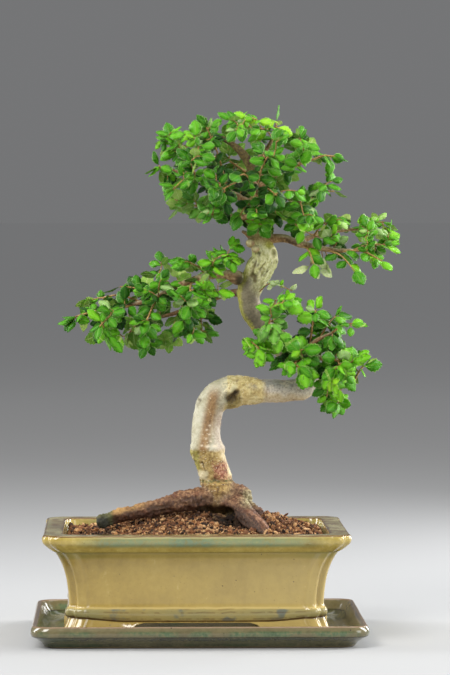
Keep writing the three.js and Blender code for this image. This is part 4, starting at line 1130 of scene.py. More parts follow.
    # Painted shade: the floor of the hollows, near-black and olive higher up.
    floor = mix(
        z.rise(290, 294) * 0.7, mix(fine.rise(0.42, 0.56), (40, 31, 14), (92, 74, 36)), (112, 100, 44)
    )
    paint(named("hollow") * 0.95, floor)
    paint(named("rim") * 0.8, (236, 226, 180))
    normal = skin.bump(fine, 0.5)
    normal = skin.bump(fibres * (0.25 + root * 0.5), 0.6, normal)
    normal = skin.bump(pore - lines, 0.14, normal)
    return skin.surface(Roughness=0.58 + 0.25 * fine, Normal=normal)


def near(place, reach):
    """1 at a place, falling to 0 as exp(-(distance / reach) squared)."""
    return np.exp(-((np.linalg.norm(wood_points - place, axis=1) / reach) ** 2))


def front_spot(x, z, wide, tall):
    """A spot on the skin that faces the front: exp(-(dx / wide)^2 - (dz / tall)^2)."""
    off = ((wood_points[:, 0] - x) / wide) ** 2 + ((wood_points[:, 2] - z) / tall) ** 2
    return np.exp(-off) * (skin_normals[:, 1] < 0.1)


furrows = 0.55 * np.max(slit_share[BURL_FURROWS], axis=0)
furrows = furrows + 0.7 * np.max(slit_share[BASE_CRACKS], axis=0)
eye = 0.95 * front_spot(64.4, 321.5, 2.0, 2.5) + 0.7 * front_spot(52, 285, 1.6, 1.4)
crack = 0.8 * slit_share[GRAFT_CRACK] + 0.9 * front_spot(-3.4, 151.5, 0.7, 3.4)
dots = 0.8 * front_spot(1, 198.5, 1.3, 0.9) + 0.6 * front_spot(33.5, 215, 1.6, 1.0) + crack
stubs = 1.3 * front_spot(42.7, 330.4, 2.4, 2.6) + 1.3 * front_spot(47.8, 325.2, 2.0, 2.1)
ovals = [
    (8.0, 159.6), (13.8, 159.8), (3.0, 160.4), (10.6, 164.0), (6.6, 166.2), (9.4, 169.6), (7.2, 173.4),
    (9.8, 177.0),
]
pale = sum(1.3 * front_spot(x, z, 1.9 if z < 160 else 0.9, 0.9 if z < 160 else 0.6) for x, z in ovals)
# Painted shade: roots right of the trunk are darkened on their sides that face left and down.
umber = root_share * np.clip(0.5 - 1.2 * skin_normals[:, 0] - 0.6 * skin_normals[:, 2], 0, 1)
umber *= np.clip((wood_points[:, 0] - 16) / 8, 0, 1) * np.clip((112 - wood_points[:, 2]) / 6, 0, 1)
from_rim = np.hypot((wood_points[:, 0] - 64.4) / 3.6, (wood_points[:, 2] - 321.5) / 4.4) - 1
eye_rim = np.exp(-((from_rim / 0.16) ** 2)) * (skin_normals[:, 1] < 0)
bark_values = {
    "root": root_share,
    "twig": twig_share * (limb_depth[0] > 1.5),
    "grain": grain * MM,
    "lean": lean,
    "up": np.clip(skin_normals[:, 2] * 1.6, 0, 1),
    "sky": skin_normals[:, 2],
    # Painted shade in the slit, the hollows between and under the roots, the furrows, the eye, the dots and
    # the cracks.
    "hollow": np.clip(
        slit_share[SLIT] * 0.9 + slit_share[ROOT_HOLLOW] * 0.95 + slit_share[UNDER_ROOTS]
        + furrows + eye + dots, 0, 1
    ),
    # Painted shade: the deeper a point sinks below the skin, the darker it is painted.
    "crevice": np.clip(-push * 0.9 - 0.25, 0, 1),
    "moss": np.clip(1.4 * near((36, 2, 300), 3.6) + 1.2 * near((34, 4, 295), 3.4), 0, 1),
    "lichen": np.clip(1.5 * front_spot(67, 331, 6.0, 4.0) + 1.2 * front_spot(60, 329, 3.5, 3.0), 0, 1),
    "cut": np.clip(stubs + 0.9 * front_spot(-4.6, 149.4, 1.2, 2.0), 0, 1),
    "pale": np.clip(pale, 0, 1),
    "rim": np.clip(eye_rim + 0.9 * slit_share[SLIT_LIP] - slit_share[SLIT], 0, 1),
    "umber": umber,
    "lump": np.clip(1.7 * near((-81, -34, 95), 8.5), 0, 1),
}
tree_mesh = make_mesh("tree_wood", wood_points, [skin_faces], point_values=bark_values)
add_piece("tree_wood", tree_mesh, [bark()], ["trunk"])

# %% [markdown]
# Grains of soil are one twenty-sided ball, copied with numpy: every copy gets its own turn, size, bumps
# and colour. Grains that would lie inside a root are left out.

# %% Grains
GOLDEN = (1 + 5**0.5) / 2
BALL = np.array([
    (-1, GOLDEN, 0), (1, GOLDEN, 0), (-1, -GOLDEN, 0), (1, -GOLDEN, 0), (0, -1, GOLDEN), (0, 1, GOLDEN),
    (0, -1, -GOLDEN), (0, 1, -GOLDEN), (GOLDEN, 0, -1), (GOLDEN, 0, 1), (-GOLDEN, 0, -1), (-GOLDEN, 0, 1),
]) / np.hypot(1, GOLDEN)
gaps = np.linalg.norm(BALL[:, None] - BALL[None], axis=2)
side_length = np.unique(gaps.round(4))[1]
triples = [
    (i, j, k)
    for i in range(12) for j in range(i + 1, 12) for k in range(j + 1, 12)
    if np.allclose([gaps[i, j], gaps[j, k], gaps[i, k]], side_length, atol=0.01)
]


def facing_out(triple):
    """The triple in the order that turns its normal, (b - a) x (c - a), away from the middle."""
    a, b, c = BALL[list(triple)]
    return triple if np.dot(np.cross(b - a, c - a), a) > 0 else triple[::-1]


BALL_FACES = np.array([facing_out(triple) for triple in triples])


def random_turns(count):
    """Square sets of three directions: two random vectors, made square to each other, and their cross."""
    first = unit(draw.normal(size=(count, 3)))
    second = unit(np.cross(first, draw.normal(size=(count, 3))))
    return np.stack([first, second, np.cross(first, second)], 1)


def grain_heap(count, low, high, lift, form):
    """Points, faces and one colour number a point for `count` grains of a form strewn over the bed."""
    reach = np.array([SOIL_HALF - 2, SOIL_HALF - POT_SLIMMER - 2])
    place = draw.uniform(-1, 1, (count, 2)) * reach + [POT_X, 0]
    size = low + (high - low) * draw.random(count) ** 2.2
    height = soil_height(place[:, 0], place[:, 1]) + size * draw.uniform(-0.1, lift, count)
    centre = np.column_stack([place, height])
    depth, _, _ = nearest_limb(centre)
    kept = depth.min(0) > -0.2 * size
    centre, size = centre[kept], size[kept]
    shape = BALL[None] * (1 + draw.uniform(-0.28, 0.28, (len(size), 12, 1))) * form
    points = (
        np.einsum("nvi,nij->nvj", shape * size[:, None, None] / 2, random_turns(len(size)))
        + centre[:, None]
    )
    faces = BALL_FACES[None] + 12 * np.arange(len(size))[:, None, None]
    colour = np.repeat(draw.random(len(size)), 12)
    return points.reshape(-1, 3), faces.reshape(-1, 3), colour


# %% Soil finish
def potting_mix(name, grain_colour):
    """Grain colours from black bark to orange fired clay, chosen by one number for each grain."""
    mix = Finish(name)
    dust = mix.noise(1.1, 5, 0.7)
    if grain_colour is None:
        number = mix.parts(mix.spots(3.2, output="Color"))[0]
    else:
        number = mix.named(grain_colour)
    mix.colour = mix.ramp(
        number,
        (0.0, 24, 17, 12), (0.14, 54, 35, 22), (0.3, 104, 68, 42), (0.46, 148, 98, 60),
        (0.58, 74, 48, 34), (0.7, 176, 126, 78), (0.84, 214, 172, 122), (0.95, 124, 80, 54),
    )
    mix.paint(dust.rise(0.35, 0.7) * 0.4, (66, 44, 28))
    # Painted shadow: the mix turns almost black round the dip in front of the roots.
    right, ahead = (mix.x - 27) * (1 / 19), (mix.y + 25) * (1 / 15)
    painted_soil_shadow = (right * right + ahead * ahead).fall(0.35, 1.5)
    mix.paint(painted_soil_shadow * 0.85, (22, 15, 10))
    # Darker round the end of the left root.
    right, ahead = (mix.x + 80) * (1 / 9), (mix.y + 34) * (1 / 9)
    dark_round_root_end = (right * right + ahead * ahead).fall(0.4, 1.4)
    mix.paint(dark_round_root_end * 0.8, (26, 22, 18))
    normal = mix.bump(dust, 0.35)
    return mix.surface(Roughness=0.86 + 0.1 * dust, Normal=normal)


bed = make_mesh("soil_bed", bed_points, bed_faces)
add_piece("soil_bed", bed, [potting_mix("damp potting mix", None)], ["soil"])
loose = potting_mix("grains of potting mix", "grain_colour")
HEAPS = [
    ("coarse", 2600, 2.4, 5.4, 0.34, (1.0, 0.86, 0.72)), ("fine", 6200, 1.2, 2.6, 0.75, (1.0, 0.86, 0.72)),
    ("chips", 260, 1.3, 2.9, 1.0, (3.6, 0.8, 0.42)),
]
for label, *heap_sizes in HEAPS:
    heap_points, heap_faces, heap_colour = grain_heap(*heap_sizes)
    heap = make_mesh(
        f"soil_grains_{label}", heap_points, [heap_faces], point_values={"grain_colour": heap_colour},
        smooth=False,
    )
    add_piece(f"soil_grains_{label}", heap, [loose])

# %% [markdown]
# Leaves stand alternately on thin shoots. The main shoot of each spray is the source's own: it starts on
# its branch, arches a little and ends a leaf's length before the tip, and the same seeded numbers place
# its leaves. More shoots are then grown between them, each from the nearest wood, until the pads are full.

# %% Sizes of shoots and leaves
LEAF_LENGTH = 15.0
LEAF_WIDTH = 10.4
LEAF_SIZES = (0.8, 1.1)
LEAF_START = 4.5
LEAF_SPACING = 6.7
SHOOT_RADIUS = 1.15
SHOOT_RISE = 0.1
TIP_LEAF = 9.0
SPRAY_SEED = 20261
SEAT_SHARE = 0.72
FACE_OUTWARD = 1.3
FACE_STRAY = 0.9
DROOP = 0.35
DROOP_STRAY = 0.5
SPREAD = 1.1
SPREAD_STRAY = 0.3
TIP_STRAY = 0.6
BRANCH_POINTS = 400
SHOOT_POINTS = 60
SHOOT_TAPER = (0.85, 0.5)
FINE_POINTS = 16
FINE_SPACING = 5.0
FINE_RADII = (0.6, 0.36)
TIPS_DRAWN = 14000
TIPS_APART = 6.6
NEAREST_TIP = 5
FURTHEST_TIP = 46
WINDOW_SHARE = 0.35
UP = np.array([0.0, 0.0, 1.0])
# The gaps in front of the upper trunk and the left branch: their middles and their half sizes
WINDOW_PLACES = np.array([(32.0, 2.0, 406.0), (21.0, 4.0, 303.0), (84.0, 4.0, 328.0)])
WINDOW_HALVES = np.array([(19.0, 1.0, 17.0), (12.0, 1.0, 8.0), (17.0, 1.0, 8.0)])
# On each branch: the names of its sprays, how far along it they start, and where their tips are
SHOOTS = {
    "left": [("tip", 1, (-112, -16, 268)), ("front_outer", 0.8, (-88, -46, 258)),
        ("back_outer", 0.74, (-90, 18, 284)), ("upper_outer", 0.66, (-74, -2, 296)),
        ("front_middle", 0.6, (-46, -46, 262)), ("upper", 0.52, (-42, 2, 308)),
        ("front_inner", 0.4, (-8, -40, 274)), ("upper_inner", 0.3, (-12, -10, 318))],
    "left_back": [("lower", 1, (-68, 34, 243)), ("lower_middle", 0.7, (-26, 46, 240)),
        ("lower_inner", 0.5, (4, 0, 248))],
    "right": [("tip", 1, (166, -14, 330)), ("front", 0.75, (134, -44, 304)),
        ("front_outer", 0.9, (160, -38, 314)), ("inner", 0.5, (98, -36, 309))],
    "right_back": [("back_tip", 1, (167, 22, 350)), ("back_upper", 0.6, (124, 40, 357)),
        ("upper", 0.3, (112, -10, 353))],
    "low": [("front", 1, (134, -60, 268)), ("upper", 0.7, (98, -60, 284)),
        ("upper_right", 0.85, (120, -26, 276)), ("middle", 0.5, (76, -72, 226))],
    "low_right": [("right", 1, (143, -32, 236)), ("right_front", 0.5, (118, -70, 230)),
        ("drooping", 0.8, (114, -44, 190))],
    "low_left": [("left", 1, (66, -32, 292)), ("left_front", 0.8, (54, -64, 264)),
        ("left_outer", 0.55, (38, -44, 244))],
    "crown_left": [("left_tip", 1, (-42, -14, 394)), ("left_upper", 0.75, (-26, 4, 424)),
        ("left_front", 0.6, (-12, -46, 386)), ("left_top", 0.4, (4, -10, 436)),
        ("left_low", 0.8, (-26, -38, 372))],
    "crown_low_left": [("low_left", 1, (-24, 22, 360)), ("low_front", 0.6, (8, -22, 352))],
    "crown_right": [("right_tip", 1, (124, -10, 404)), ("right_upper", 0.7, (90, 6, 426)),
        ("right_front", 0.55, (88, -42, 396)), ("right_back", 0.8, (104, 28, 408))],
    "crown_low_right": [("low_right_tip", 1, (124, 18, 376)), ("low_right", 0.65, (92, -20, 356)),
        ("low_right_front", 0.85, (112, -18, 382))],
    "crown_back": [("back", 1, (26, 68, 398)), ("back_right", 0.6, (74, 50, 386)),
        ("back_left", 0.75, (0, 44, 408))],
    "crown_front": [("front", 1, (30, -68, 388)), ("front_right", 0.6, (70, -48, 368)),
        ("front_left", 0.8, (12, -56, 374)), ("front_upper", 0.7, (60, -54, 410)),
        ("front_low", 0.4, (30, -36, 348))],
    "crown_top": [("top", 1, (66, 4, 440)), ("top_left", 0.5, (34, -2, 440)),
        ("top_front", 0.8, (48, -30, 428))],
}
SPRAYS = {
    f"{branch.split('_')[0]}_{label}": (branch, share, tip)
    for branch, shoots in SHOOTS.items()
    for label, share, tip in shoots
}
PADS = {
    "left": {
        "centre": (-38, -2, 270), "depth": (0, 46), "leaf": 1.0, "flat": 0.85, "shoots": 154, "tone": 0.08,
        "pale": 0.05,
        "outline": [
            (38, 320), (39, 334), (26, 338), (8, 322), (-30, 320), (-49, 303), (-66, 291), (-92, 284),
            (-115, 269), (-84, 244),
            (-61, 238), (-34, 234), (-5, 240), (14, 255), (20, 274),
        ],
    },
    "right": {
        "centre": (124, 6, 325), "depth": (2, 40), "leaf": 0.86, "flat": 0.9, "shoots": 56, "tone": 0.05,
        "pale": 0.12,
        "outline": [
            (99, 352), (128, 357), (168, 350), (168, 330), (160, 312), (149, 308), (140, 322), (126, 330),
            (104, 334),
        ],
    },
    "low": {
        "centre": (94, -30, 240), "depth": (-46, 28), "leaf": 1.12, "flat": 0.6, "shoots": 114,
        "tone": 0.12, "pale": 0.03,
        "outline": [
            (35, 241), (43, 258), (58, 291), (77, 290), (95, 278), (118, 273), (136, 248), (143, 233),
            (128, 216), (116, 190), (107, 192), (96, 216), (64, 224),
        ],
    },
    "crown": {
        "centre": (42, 2, 385), "depth": (0, 66), "leaf": 0.97, "flat": 1.1, "shoots": 248, "tone": -0.1,
        "pale": 0.03,
        "outline": [
            (-40, 394), (-33, 424), (-7, 439), (9, 442), (46, 440), (62, 438), (86, 423), (101, 412),
            (115, 400), (124, 384), (115, 370), (109, 360), (100, 344), (84, 337), (71, 336), (44, 339),
            (29, 354), (2, 351), (-22, 360),
        ],
    },
}


# %% Seeded numbers, as in the source
def seeded_random(seed):
    """A stream of numbers from 0 to 1, with the source's own mixing of 32-bit whole numbers."""
    state = seed & 0xFFFFFFFF
    while True:
        state = (state + 0x6D2B79F5) & 0xFFFFFFFF
        mixed = ((state ^ (state >> 15)) * (1 | state)) & 0xFFFFFFFF
        mixed = ((mixed + ((mixed ^ (mixed >> 7)) * (61 | mixed) & 0xFFFFFFFF)) & 0xFFFFFFFF) ^ mixed
        yield ((mixed ^ (mixed >> 14)) & 0xFFFFFFFF) / 4294967296


# %% Main shoots and their leaves
def seat_on(branch, place, reach):
    """Where a shoot leaves its branch: on the side that faces its tip, or at the branch's end."""
    points, pairs = BRANCHES[branch]
    line = smooth_line(points, BRANCH_POINTS)
    spot = int(round(place * (BRANCH_POINTS - 1)))
    base, ahead = line[spot], unit(np.gradient(line, axis=0))[spot]
    aim = unit(reach - base)
    straight = aim @ ahead
    if place == 1:
        return base
    return base + unit(aim - straight * ahead) * SEAT_SHARE * radius_along(pairs, place)


def main_shoot(branch, place, tip):
    """The shoot's line: a curve through its start, its end and a middle that SHOOT_RISE lifts."""
    reach = np.array(tip, float)
    start = seat_on(branch, place, reach)
    end = reach + (start - reach) * TIP_LEAF / np.linalg.norm(reach - start)
    middle = (start + end) / 2 + UP * np.linalg.norm(end - start) * SHOOT_RISE
    return smooth_line([start, middle, end], SHOOT_POINTS)


def main_leaves(line, centre, random):
    """Rows of foot, aim, face and size for the source's own leaves on a shoot."""
    length = line_length(line)
    count = round((length - LEAF_START) / LEAF_SPACING)
    tangents = unit(np.gradient(line, axis=0))
    end = SHOOT_POINTS - 1
    rows = []
    for i in range(count + 1):
        last = i == count
        spot = end if last else int(round((LEAF_START + i * LEAF_SPACING) / length * end))
        place, ahead = line[spot], tangents[spot]
        across = unit(np.cross(ahead, UP))
        size_draw, turn_draw, tilt_draw, face_draw = [next(random) for _ in range(4)]
        size = LEAF_SIZES[0] + (LEAF_SIZES[1] - LEAF_SIZES[0]) * size_draw
        outward = unit((place - centre) * [1, 1, 0])
        face = outward * FACE_OUTWARD + UP + across * FACE_STRAY * (face_draw - 0.5)
        side = 1 if i % 2 else -1
        spread = TIP_STRAY * (turn_draw - 0.5) if last else side * (SPREAD + SPREAD_STRAY * turn_draw)
        aim = ahead * np.cos(spread) + across * np.sin(spread)
        aim = unit(aim + UP * (DROOP_STRAY * (tilt_draw - 0.5) - DROOP))
        rows.append(np.concatenate([place, aim, face, [size, 0]]))
    return rows


twigs = {name: [] for name in SPRAYS}
leaves = {name: [] for name in SPRAYS}
for number, (name, spray) in enumerate(SPRAYS.items()):
    line = main_shoot(*spray)
    centre = np.array(PADS[name.split("_")[0]]["centre"], float)
    twigs[name].append((line, SHOOT_RADIUS * SHOOT_TAPER[0], SHOOT_RADIUS * SHOOT_TAPER[1]))
    leaves[name] += main_leaves(line, centre, seeded_random(SPRAY_SEED + number))
print("leaves on main shoots:", sum(map(len, leaves.values())))


# %% [markdown]
# The finer shoots grow the way twigs fill a space. Tips are strewn inside each pad, a good leaf's length
# apart, and each tip in turn is joined to the nearest point of the wood or of a shoot that is already
# there. The pad's outline is the one seen from the front, and it thins towards its edge in depth.


# %% Tips inside a pad
def inside(outline, x, z):
    """Whether each point lies in a polygon: a ray to the right crosses its edges an odd number of times."""
    corners = np.array(outline, float)
    x1, z1 = corners[:, 0, None], corners[:, 1, None]
    x2, z2 = np.roll(corners, -1, axis=0)[:, 0, None], np.roll(corners, -1, axis=0)[:, 1, None]
    spans = (z1 > z) != (z2 > z)
    crossing = x1 + (z - z1) * (x2 - x1) / np.where(z2 == z1, 1e-9, z2 - z1)
    return (spans & (x < crossing)).sum(0) % 2 == 1


def strewn_tips(pad):
    """Points in the pad, kept one by one where none of those kept before is nearer than TIPS_APART."""
    outline = np.array(pad["outline"], float)
    low, high = outline.min(0), outline.max(0)
    middle, half = (low + high) / 2, (high - low) / 2
    drawn = draw.uniform(low, high, (TIPS_DRAWN, 2))
    drawn = drawn[inside(pad["outline"], drawn[:, 0], drawn[:, 1])]
    off = np.abs(drawn - middle) / half
    depth = (
        pad["depth"][1]
        * np.sqrt(np.clip(1 - off[:, 0] ** 2.5, 0.05, 1) * np.clip(1 - 0.5 * off[:, 1] ** 2, 0.1, 1))
    )
    y = pad["depth"][0] + depth * draw.uniform(-1, 1, len(drawn))
    drawn = np.column_stack([drawn[:, 0], y, drawn[:, 1]])
    kept = np.empty((0, 3))
    for tip in drawn:
        if len(kept) == pad["shoots"]:
            break
        if len(kept) == 0 or np.linalg.norm(kept - tip, axis=1).min() > TIPS_APART:
            kept = np.vstack([kept, tip])
    return kept


def in_window(points):
    """Whether each point lies in front of a window, inside its ellipse as seen from the front."""
    off = (points[:, None] - WINDOW_PLACES) / WINDOW_HALVES
    return ((off[..., 0] ** 2 + off[..., 2] ** 2 < 1) & (off[..., 1] < 0)).any(1)


# %% Shoots out to the tips
def grow_pad(pad_name, pad):
    """Joins each strewn tip to the nearest wood or shoot by a gently raised curve with leaves along it."""
    own = [name for name in SPRAYS if name.startswith(pad_name + "_")]
    nodes, owners = [], []
    for name in own:
        nodes.append(twigs[name][0][0][::6])
        owners += [name] * len(nodes[-1])
    starts = np.array([twigs[name][0][0][0] for name in own])
    for branch in dict.fromkeys(SPRAYS[name][0] for name in own):
        line = smooth_line(BRANCHES[branch][0], 30)[8:]
        nodes.append(line)
        owners += [own[i] for i in np.linalg.norm(line[:, None] - starts[None], axis=2).argmin(1)]
    nodes = np.concatenate(nodes)
    tips = strewn_tips(pad)
    near = [np.linalg.norm(nodes - tip, axis=1).min() for tip in tips]
    centre = np.array(pad["centre"], float)
    for tip in tips[np.argsort(near)]:
        distance = np.linalg.norm(nodes - tip, axis=1)
        pick = distance.argmin()
        if not NEAREST_TIP < distance[pick] < FURTHEST_TIP:
            continue
        start, name = nodes[pick], owners[pick]
        end = tip + (start - tip) * min(TIP_LEAF / distance[pick], 0.7)
        length = np.linalg.norm(end - start)
        bow = UP * draw.uniform(0.02, 0.16) * length + draw.normal(size=3) * 0.05 * length
        line = smooth_line([start, (start + end) / 2 + bow, end], FINE_POINTS)
        if in_window(line).mean() > WINDOW_SHARE:
            continue
        twigs[name].append((line[::2], *FINE_RADII))
        nodes = np.vstack([nodes, line[4::3]])
        owners += [name] * len(line[4::3])
        leaves[name] += fine_leaves(line, centre, distance[pick], pad)


def fine_leaves(line, centre, length, pad):
    """Alternate leaves on a fine shoot: smaller at its foot, one at its end, each turned to the light."""
    count = max(int(length / FINE_SPACING), 1)
    tangents = unit(np.gradient(line, axis=0))
    end = FINE_POINTS - 1
    rows = []
    side = draw.choice([-1.0, 1.0])
    for i in range(count + 1):
        last = i == count
        spot = end if last else int(end * (i + 0.7) / (count + 0.4))
        place, ahead = line[spot], tangents[spot]
        across = unit(np.cross(ahead, UP) + 0.25 * draw.normal(size=3))
        front = -1 if place[1] < centre[1] + 12 + 9 * draw.normal() else 1
        face = (
            0.55 * unit(place - centre) + [0, 1.05 * front, 0] + pad["flat"] * UP
            + 0.45 * draw.normal(size=3)
        )
        spread = draw.normal() * 0.3 if last else side * draw.uniform(0.75, 1.35)
        side = -side
        aim = ahead * np.cos(spread) + across * np.sin(spread)
        aim = unit(aim * [1, 0.5, 1] + UP * draw.uniform(-0.45, 0.28))
        size = pad["leaf"] * draw.uniform(0.48, 1.02) * (0.85 + 0.2 * (i + 1) / (count + 1))
        if not in_window(place[None])[0]:
            rows.append(np.concatenate([place, aim, face, [size, 0.4 * (draw.random() < pad["pale"])]]))
    return rows


for pad_name, pad in PADS.items():
    grow_pad(pad_name, pad)

# A few leaves hang from the right branch with their pale undersides to the front
HANGING = [
    ((95, -6, 324), (94, -9, 311), (-0.9, 0, -0.45), (0.35, 0.45, -0.75), 1.08),
    ((96, -6, 325), (94, -9, 320), (0.6, 0, -0.75), (0.5, 0.8, 0.3), 0.75),
    ((99, -6, 324), (95, -9, 312), (0.55, 0, -0.85), (0.6, 0.8, 0.2), 0.88),
    ((104, -6, 323), (103, -9, 311), (0.6, 0, -0.75), (-0.5, 0.8, -0.3), 0.88),
    ((107, -6, 323), (107, -8, 315), (0.25, 0, -1), (0.8, 0.6, 0), 0.8),
    ((101, -6, 324), (101, -10, 318), (0.5, 0, -0.7), (0.2, 0.8, 0.5), 0.7),
]
# Twigs that cross in front of the wood: the spray, the line, and each leaf's foot, aim and size
CROSSING = [
    ("low_drooping", [(104, -38, 228), (107, -48, 214), (106, -51, 203)], [
        ((105, -50, 210), (-1, 0, -0.45), 0.85), ((107, -50, 205), (1, 0, -0.1), 0.85),
        ((106, -50, 204), (-0.9, 0, -0.6), 0.65), ((107, -49, 214), (-1, 0, 0), 0.85),
    ]),
    ("low_drooping", [(110, -40, 236), (116, -48, 229), (120, -51, 221)], [
        ((118, -50, 224), (-1, 0, -0.15), 1.0), ((120, -50, 221), (0.6, 0, -0.8), 1.1),
        ((116, -49, 231), (1, 0, -0.1), 0.9),
    ]),
    ("crown_low_right_front", [(76, -12, 352), (86, -18, 342), (103, -19, 334)], [
        ((87, -19, 341), (-0.3, 0, -1), 0.8), ((90, -19, 339), (0.5, 0, 0.8), 0.7),
        ((97, -19, 336), (0.4, 0, -0.8), 0.85),
        ((103, -20, 334), (1, 0, -0.2), 0.85), ((82, -16, 345), (-1, 0, -0.3), 0.75),
    ]),
]
for name, points, placed in CROSSING:
    twigs[name].append((smooth_line(points, 12), *FINE_RADII))
    for foot, aim, size in placed:
        leaves[name].append(np.concatenate([foot, unit(np.array(aim, float)), [0.2, -1, 0.55], [size, 0]]))
# A thin twig with small dry leaves springs from the bend above the low pad
DRY_TWIG = [(52, 4, 289), (60, -3, 296), (70, -5, 294), (79, -6, 290)]
for start, end, aim, face, size in HANGING:
    line = smooth_line([start, (np.array(start) + end) / 2 + [1, 0, 1], end], 8)
    twigs["right_inner"].append((line, 0.45, 0.3))
    leaves["right_inner"].append(np.concatenate([end, unit(np.array(aim, float)), face, [size, 1]]))
line = smooth_line(DRY_TWIG, 16)
twigs["low_left"].append((line, 0.6, 0.35))
for i, place in enumerate(line[4:]):
    aim = unit(draw.normal(size=3) * [1, 0.4, 1] + [0.5, 0, 0.3])
    row = np.concatenate(
        [place, aim, draw.normal(size=3) + [0, -1, 0.5], [draw.uniform(0.3, 0.55), 0.7 * (i % 3 > 0)]]
    )
    leaves["low_left"].append(row)
print("leaves in all:", sum(map(len, leaves.values())), "shoots:", sum(map(len, twigs.values())))

# %% [markdown]
# One leaf is a thin closed blade: a ladder of rows from foot to tip, each with a point on either edge
# and one on the raised midrib. Every second edge point stands out as a tooth. All the leaves of a
# spray are one array: the same blade, scaled, bent and set down at every foot.

# %% The blade
BLADE_ROWS = 15
LEAF_THICKNESS = 0.32


def blade_outline():
    """Along and half width of each inner row.

    The rows crowd towards both ends, at s = 0.5 - 0.5 cos(pi i / n). The half width is
    sin(pi s^0.9)^0.74, an oval with a short point, and every second row stands out as a tooth."""
    i = np.arange(BLADE_ROWS)
    s = 0.5 - 0.5 * np.cos(np.pi * (i + 0.55) / (BLADE_ROWS + 0.1))
    width = np.sin(np.pi * s**0.9) ** 0.74 * np.where(i % 2, 1.11, 0.93)
    v = 0.09 + 0.91 * s + np.where(i % 2, 0.02, -0.01)
    width[0] = 0.1
    v[0] = 0.085
    return v, width


def leaf_shapes(rows, light):
    """Points, faces and corner values for all leaves of a spray. `light` is added to each leaf's tone.

    A place on a blade is foot + x across + y ahead + z face, with z = fold |x| - arch y^2 + twist x y."""
    rows = np.array(rows)
    count = len(rows)
    foot, aim, face, size = rows[:, :3], rows[:, 3:6], rows[:, 6:9], rows[:, 9]
    across = unit(np.cross(aim, face))
    normal = np.cross(across, aim)
    v, width = blade_outline()
    zero = np.zeros(BLADE_ROWS)
    x = np.concatenate([-width, zero, width, [0, 0]])
    y = np.concatenate([v, v, v, [0, 1]])
    lift = np.concatenate([zero, zero + 1, zero, [0, 0]])
    half = (LEAF_WIDTH * size / 2)[:, None] * draw.uniform(0.88, 1.1, (count, 1))
    length = (LEAF_LENGTH * size)[:, None]
    fold = draw.uniform(-0.16, -0.02, (count, 1))
    arch = draw.uniform(0.0, 0.2, (count, 1))
    twist = draw.normal(0, 0.12, (count, 1))
    ripple = 0.35 * np.sin(9 * y[None] + draw.uniform(0, 6.3, (count, 1))) * np.abs(x[None])
    z = fold * half * np.abs(x) - arch * length * y**2 + twist * half * x * y + ripple * size[:, None]
    z = z + LEAF_THICKNESS * lift * np.clip(1.15 - y, 0.25, 1)
    place = (x[None] * half)[..., None] * across[:, None] + (y[None] * length)[..., None] * aim[:, None]
    place = foot[:, None] + place + z[..., None] * normal[:, None]
    r = np.arange(BLADE_ROWS - 1)[:, None]
    left, top, right = 0, BLADE_ROWS, 2 * BLADE_ROWS
    ladder = [(left, top), (top, right), (right, left)]
    steps = [np.hstack([a + r, b + r, b + r + 1, a + r + 1]) for a, b in ladder]
    quads = np.stack(steps, 1).reshape(-1, 4)[:, ::-1]
    start, tip, end = 3 * BLADE_ROWS, 3 * BLADE_ROWS + 1, BLADE_ROWS - 1
    fans = [(start, b, a) for a, b in ladder] + [(tip, a + end, b + end) for a, b in ladder]
    fans = np.array(fans)[:, ::-1]
    below = [np.tile([0, 0, 1], BLADE_ROWS - 1), np.tile([0, 0, 1], 2)]
    mark = 3 * BLADE_ROWS + 2
    offsets = mark * np.arange(count)[:, None, None]
    chance = 0.6 * draw.random(count)
    tone = np.minimum(chance + light[:, 0], 0.92) + light[:, 1]
    tint = np.stack([tone, draw.random(count) ** 1.5, rows[:, 10] + light[:, 2]], 1)
    values = {"blade": [], "tint": []}
    for part, under_side in ((quads, below[0]), (fans, below[1])):
        which = np.broadcast_to(under_side[:, None], part.shape)
        corner = np.stack([np.sign(x[part]), y[part], which], -1).reshape(-1, 3)
        values["blade"].append(np.tile(corner, (count, 1)))
        values["tint"].append(np.repeat(tint, part.size, axis=0))
    faces = [(quads[None] + offsets).reshape(-1, 4), (fans[None] + offsets).reshape(-1, 3)]
    under = [np.tile(part, count) > 0 for part in below]
    return place.reshape(-1, 3), faces, values, under

# %% [markdown]
# The leaf's colour runs from dark old green to lime at young tips, by one number for each leaf: part
# chance, part how far out in its pad the leaf sits, which darkens leaves deep in a pad as painted shade.
# The veins come from the place on the blade: a pale midrib, and side veins that slant towards the tip.
# The underside is paler and duller, and light shines through a little.


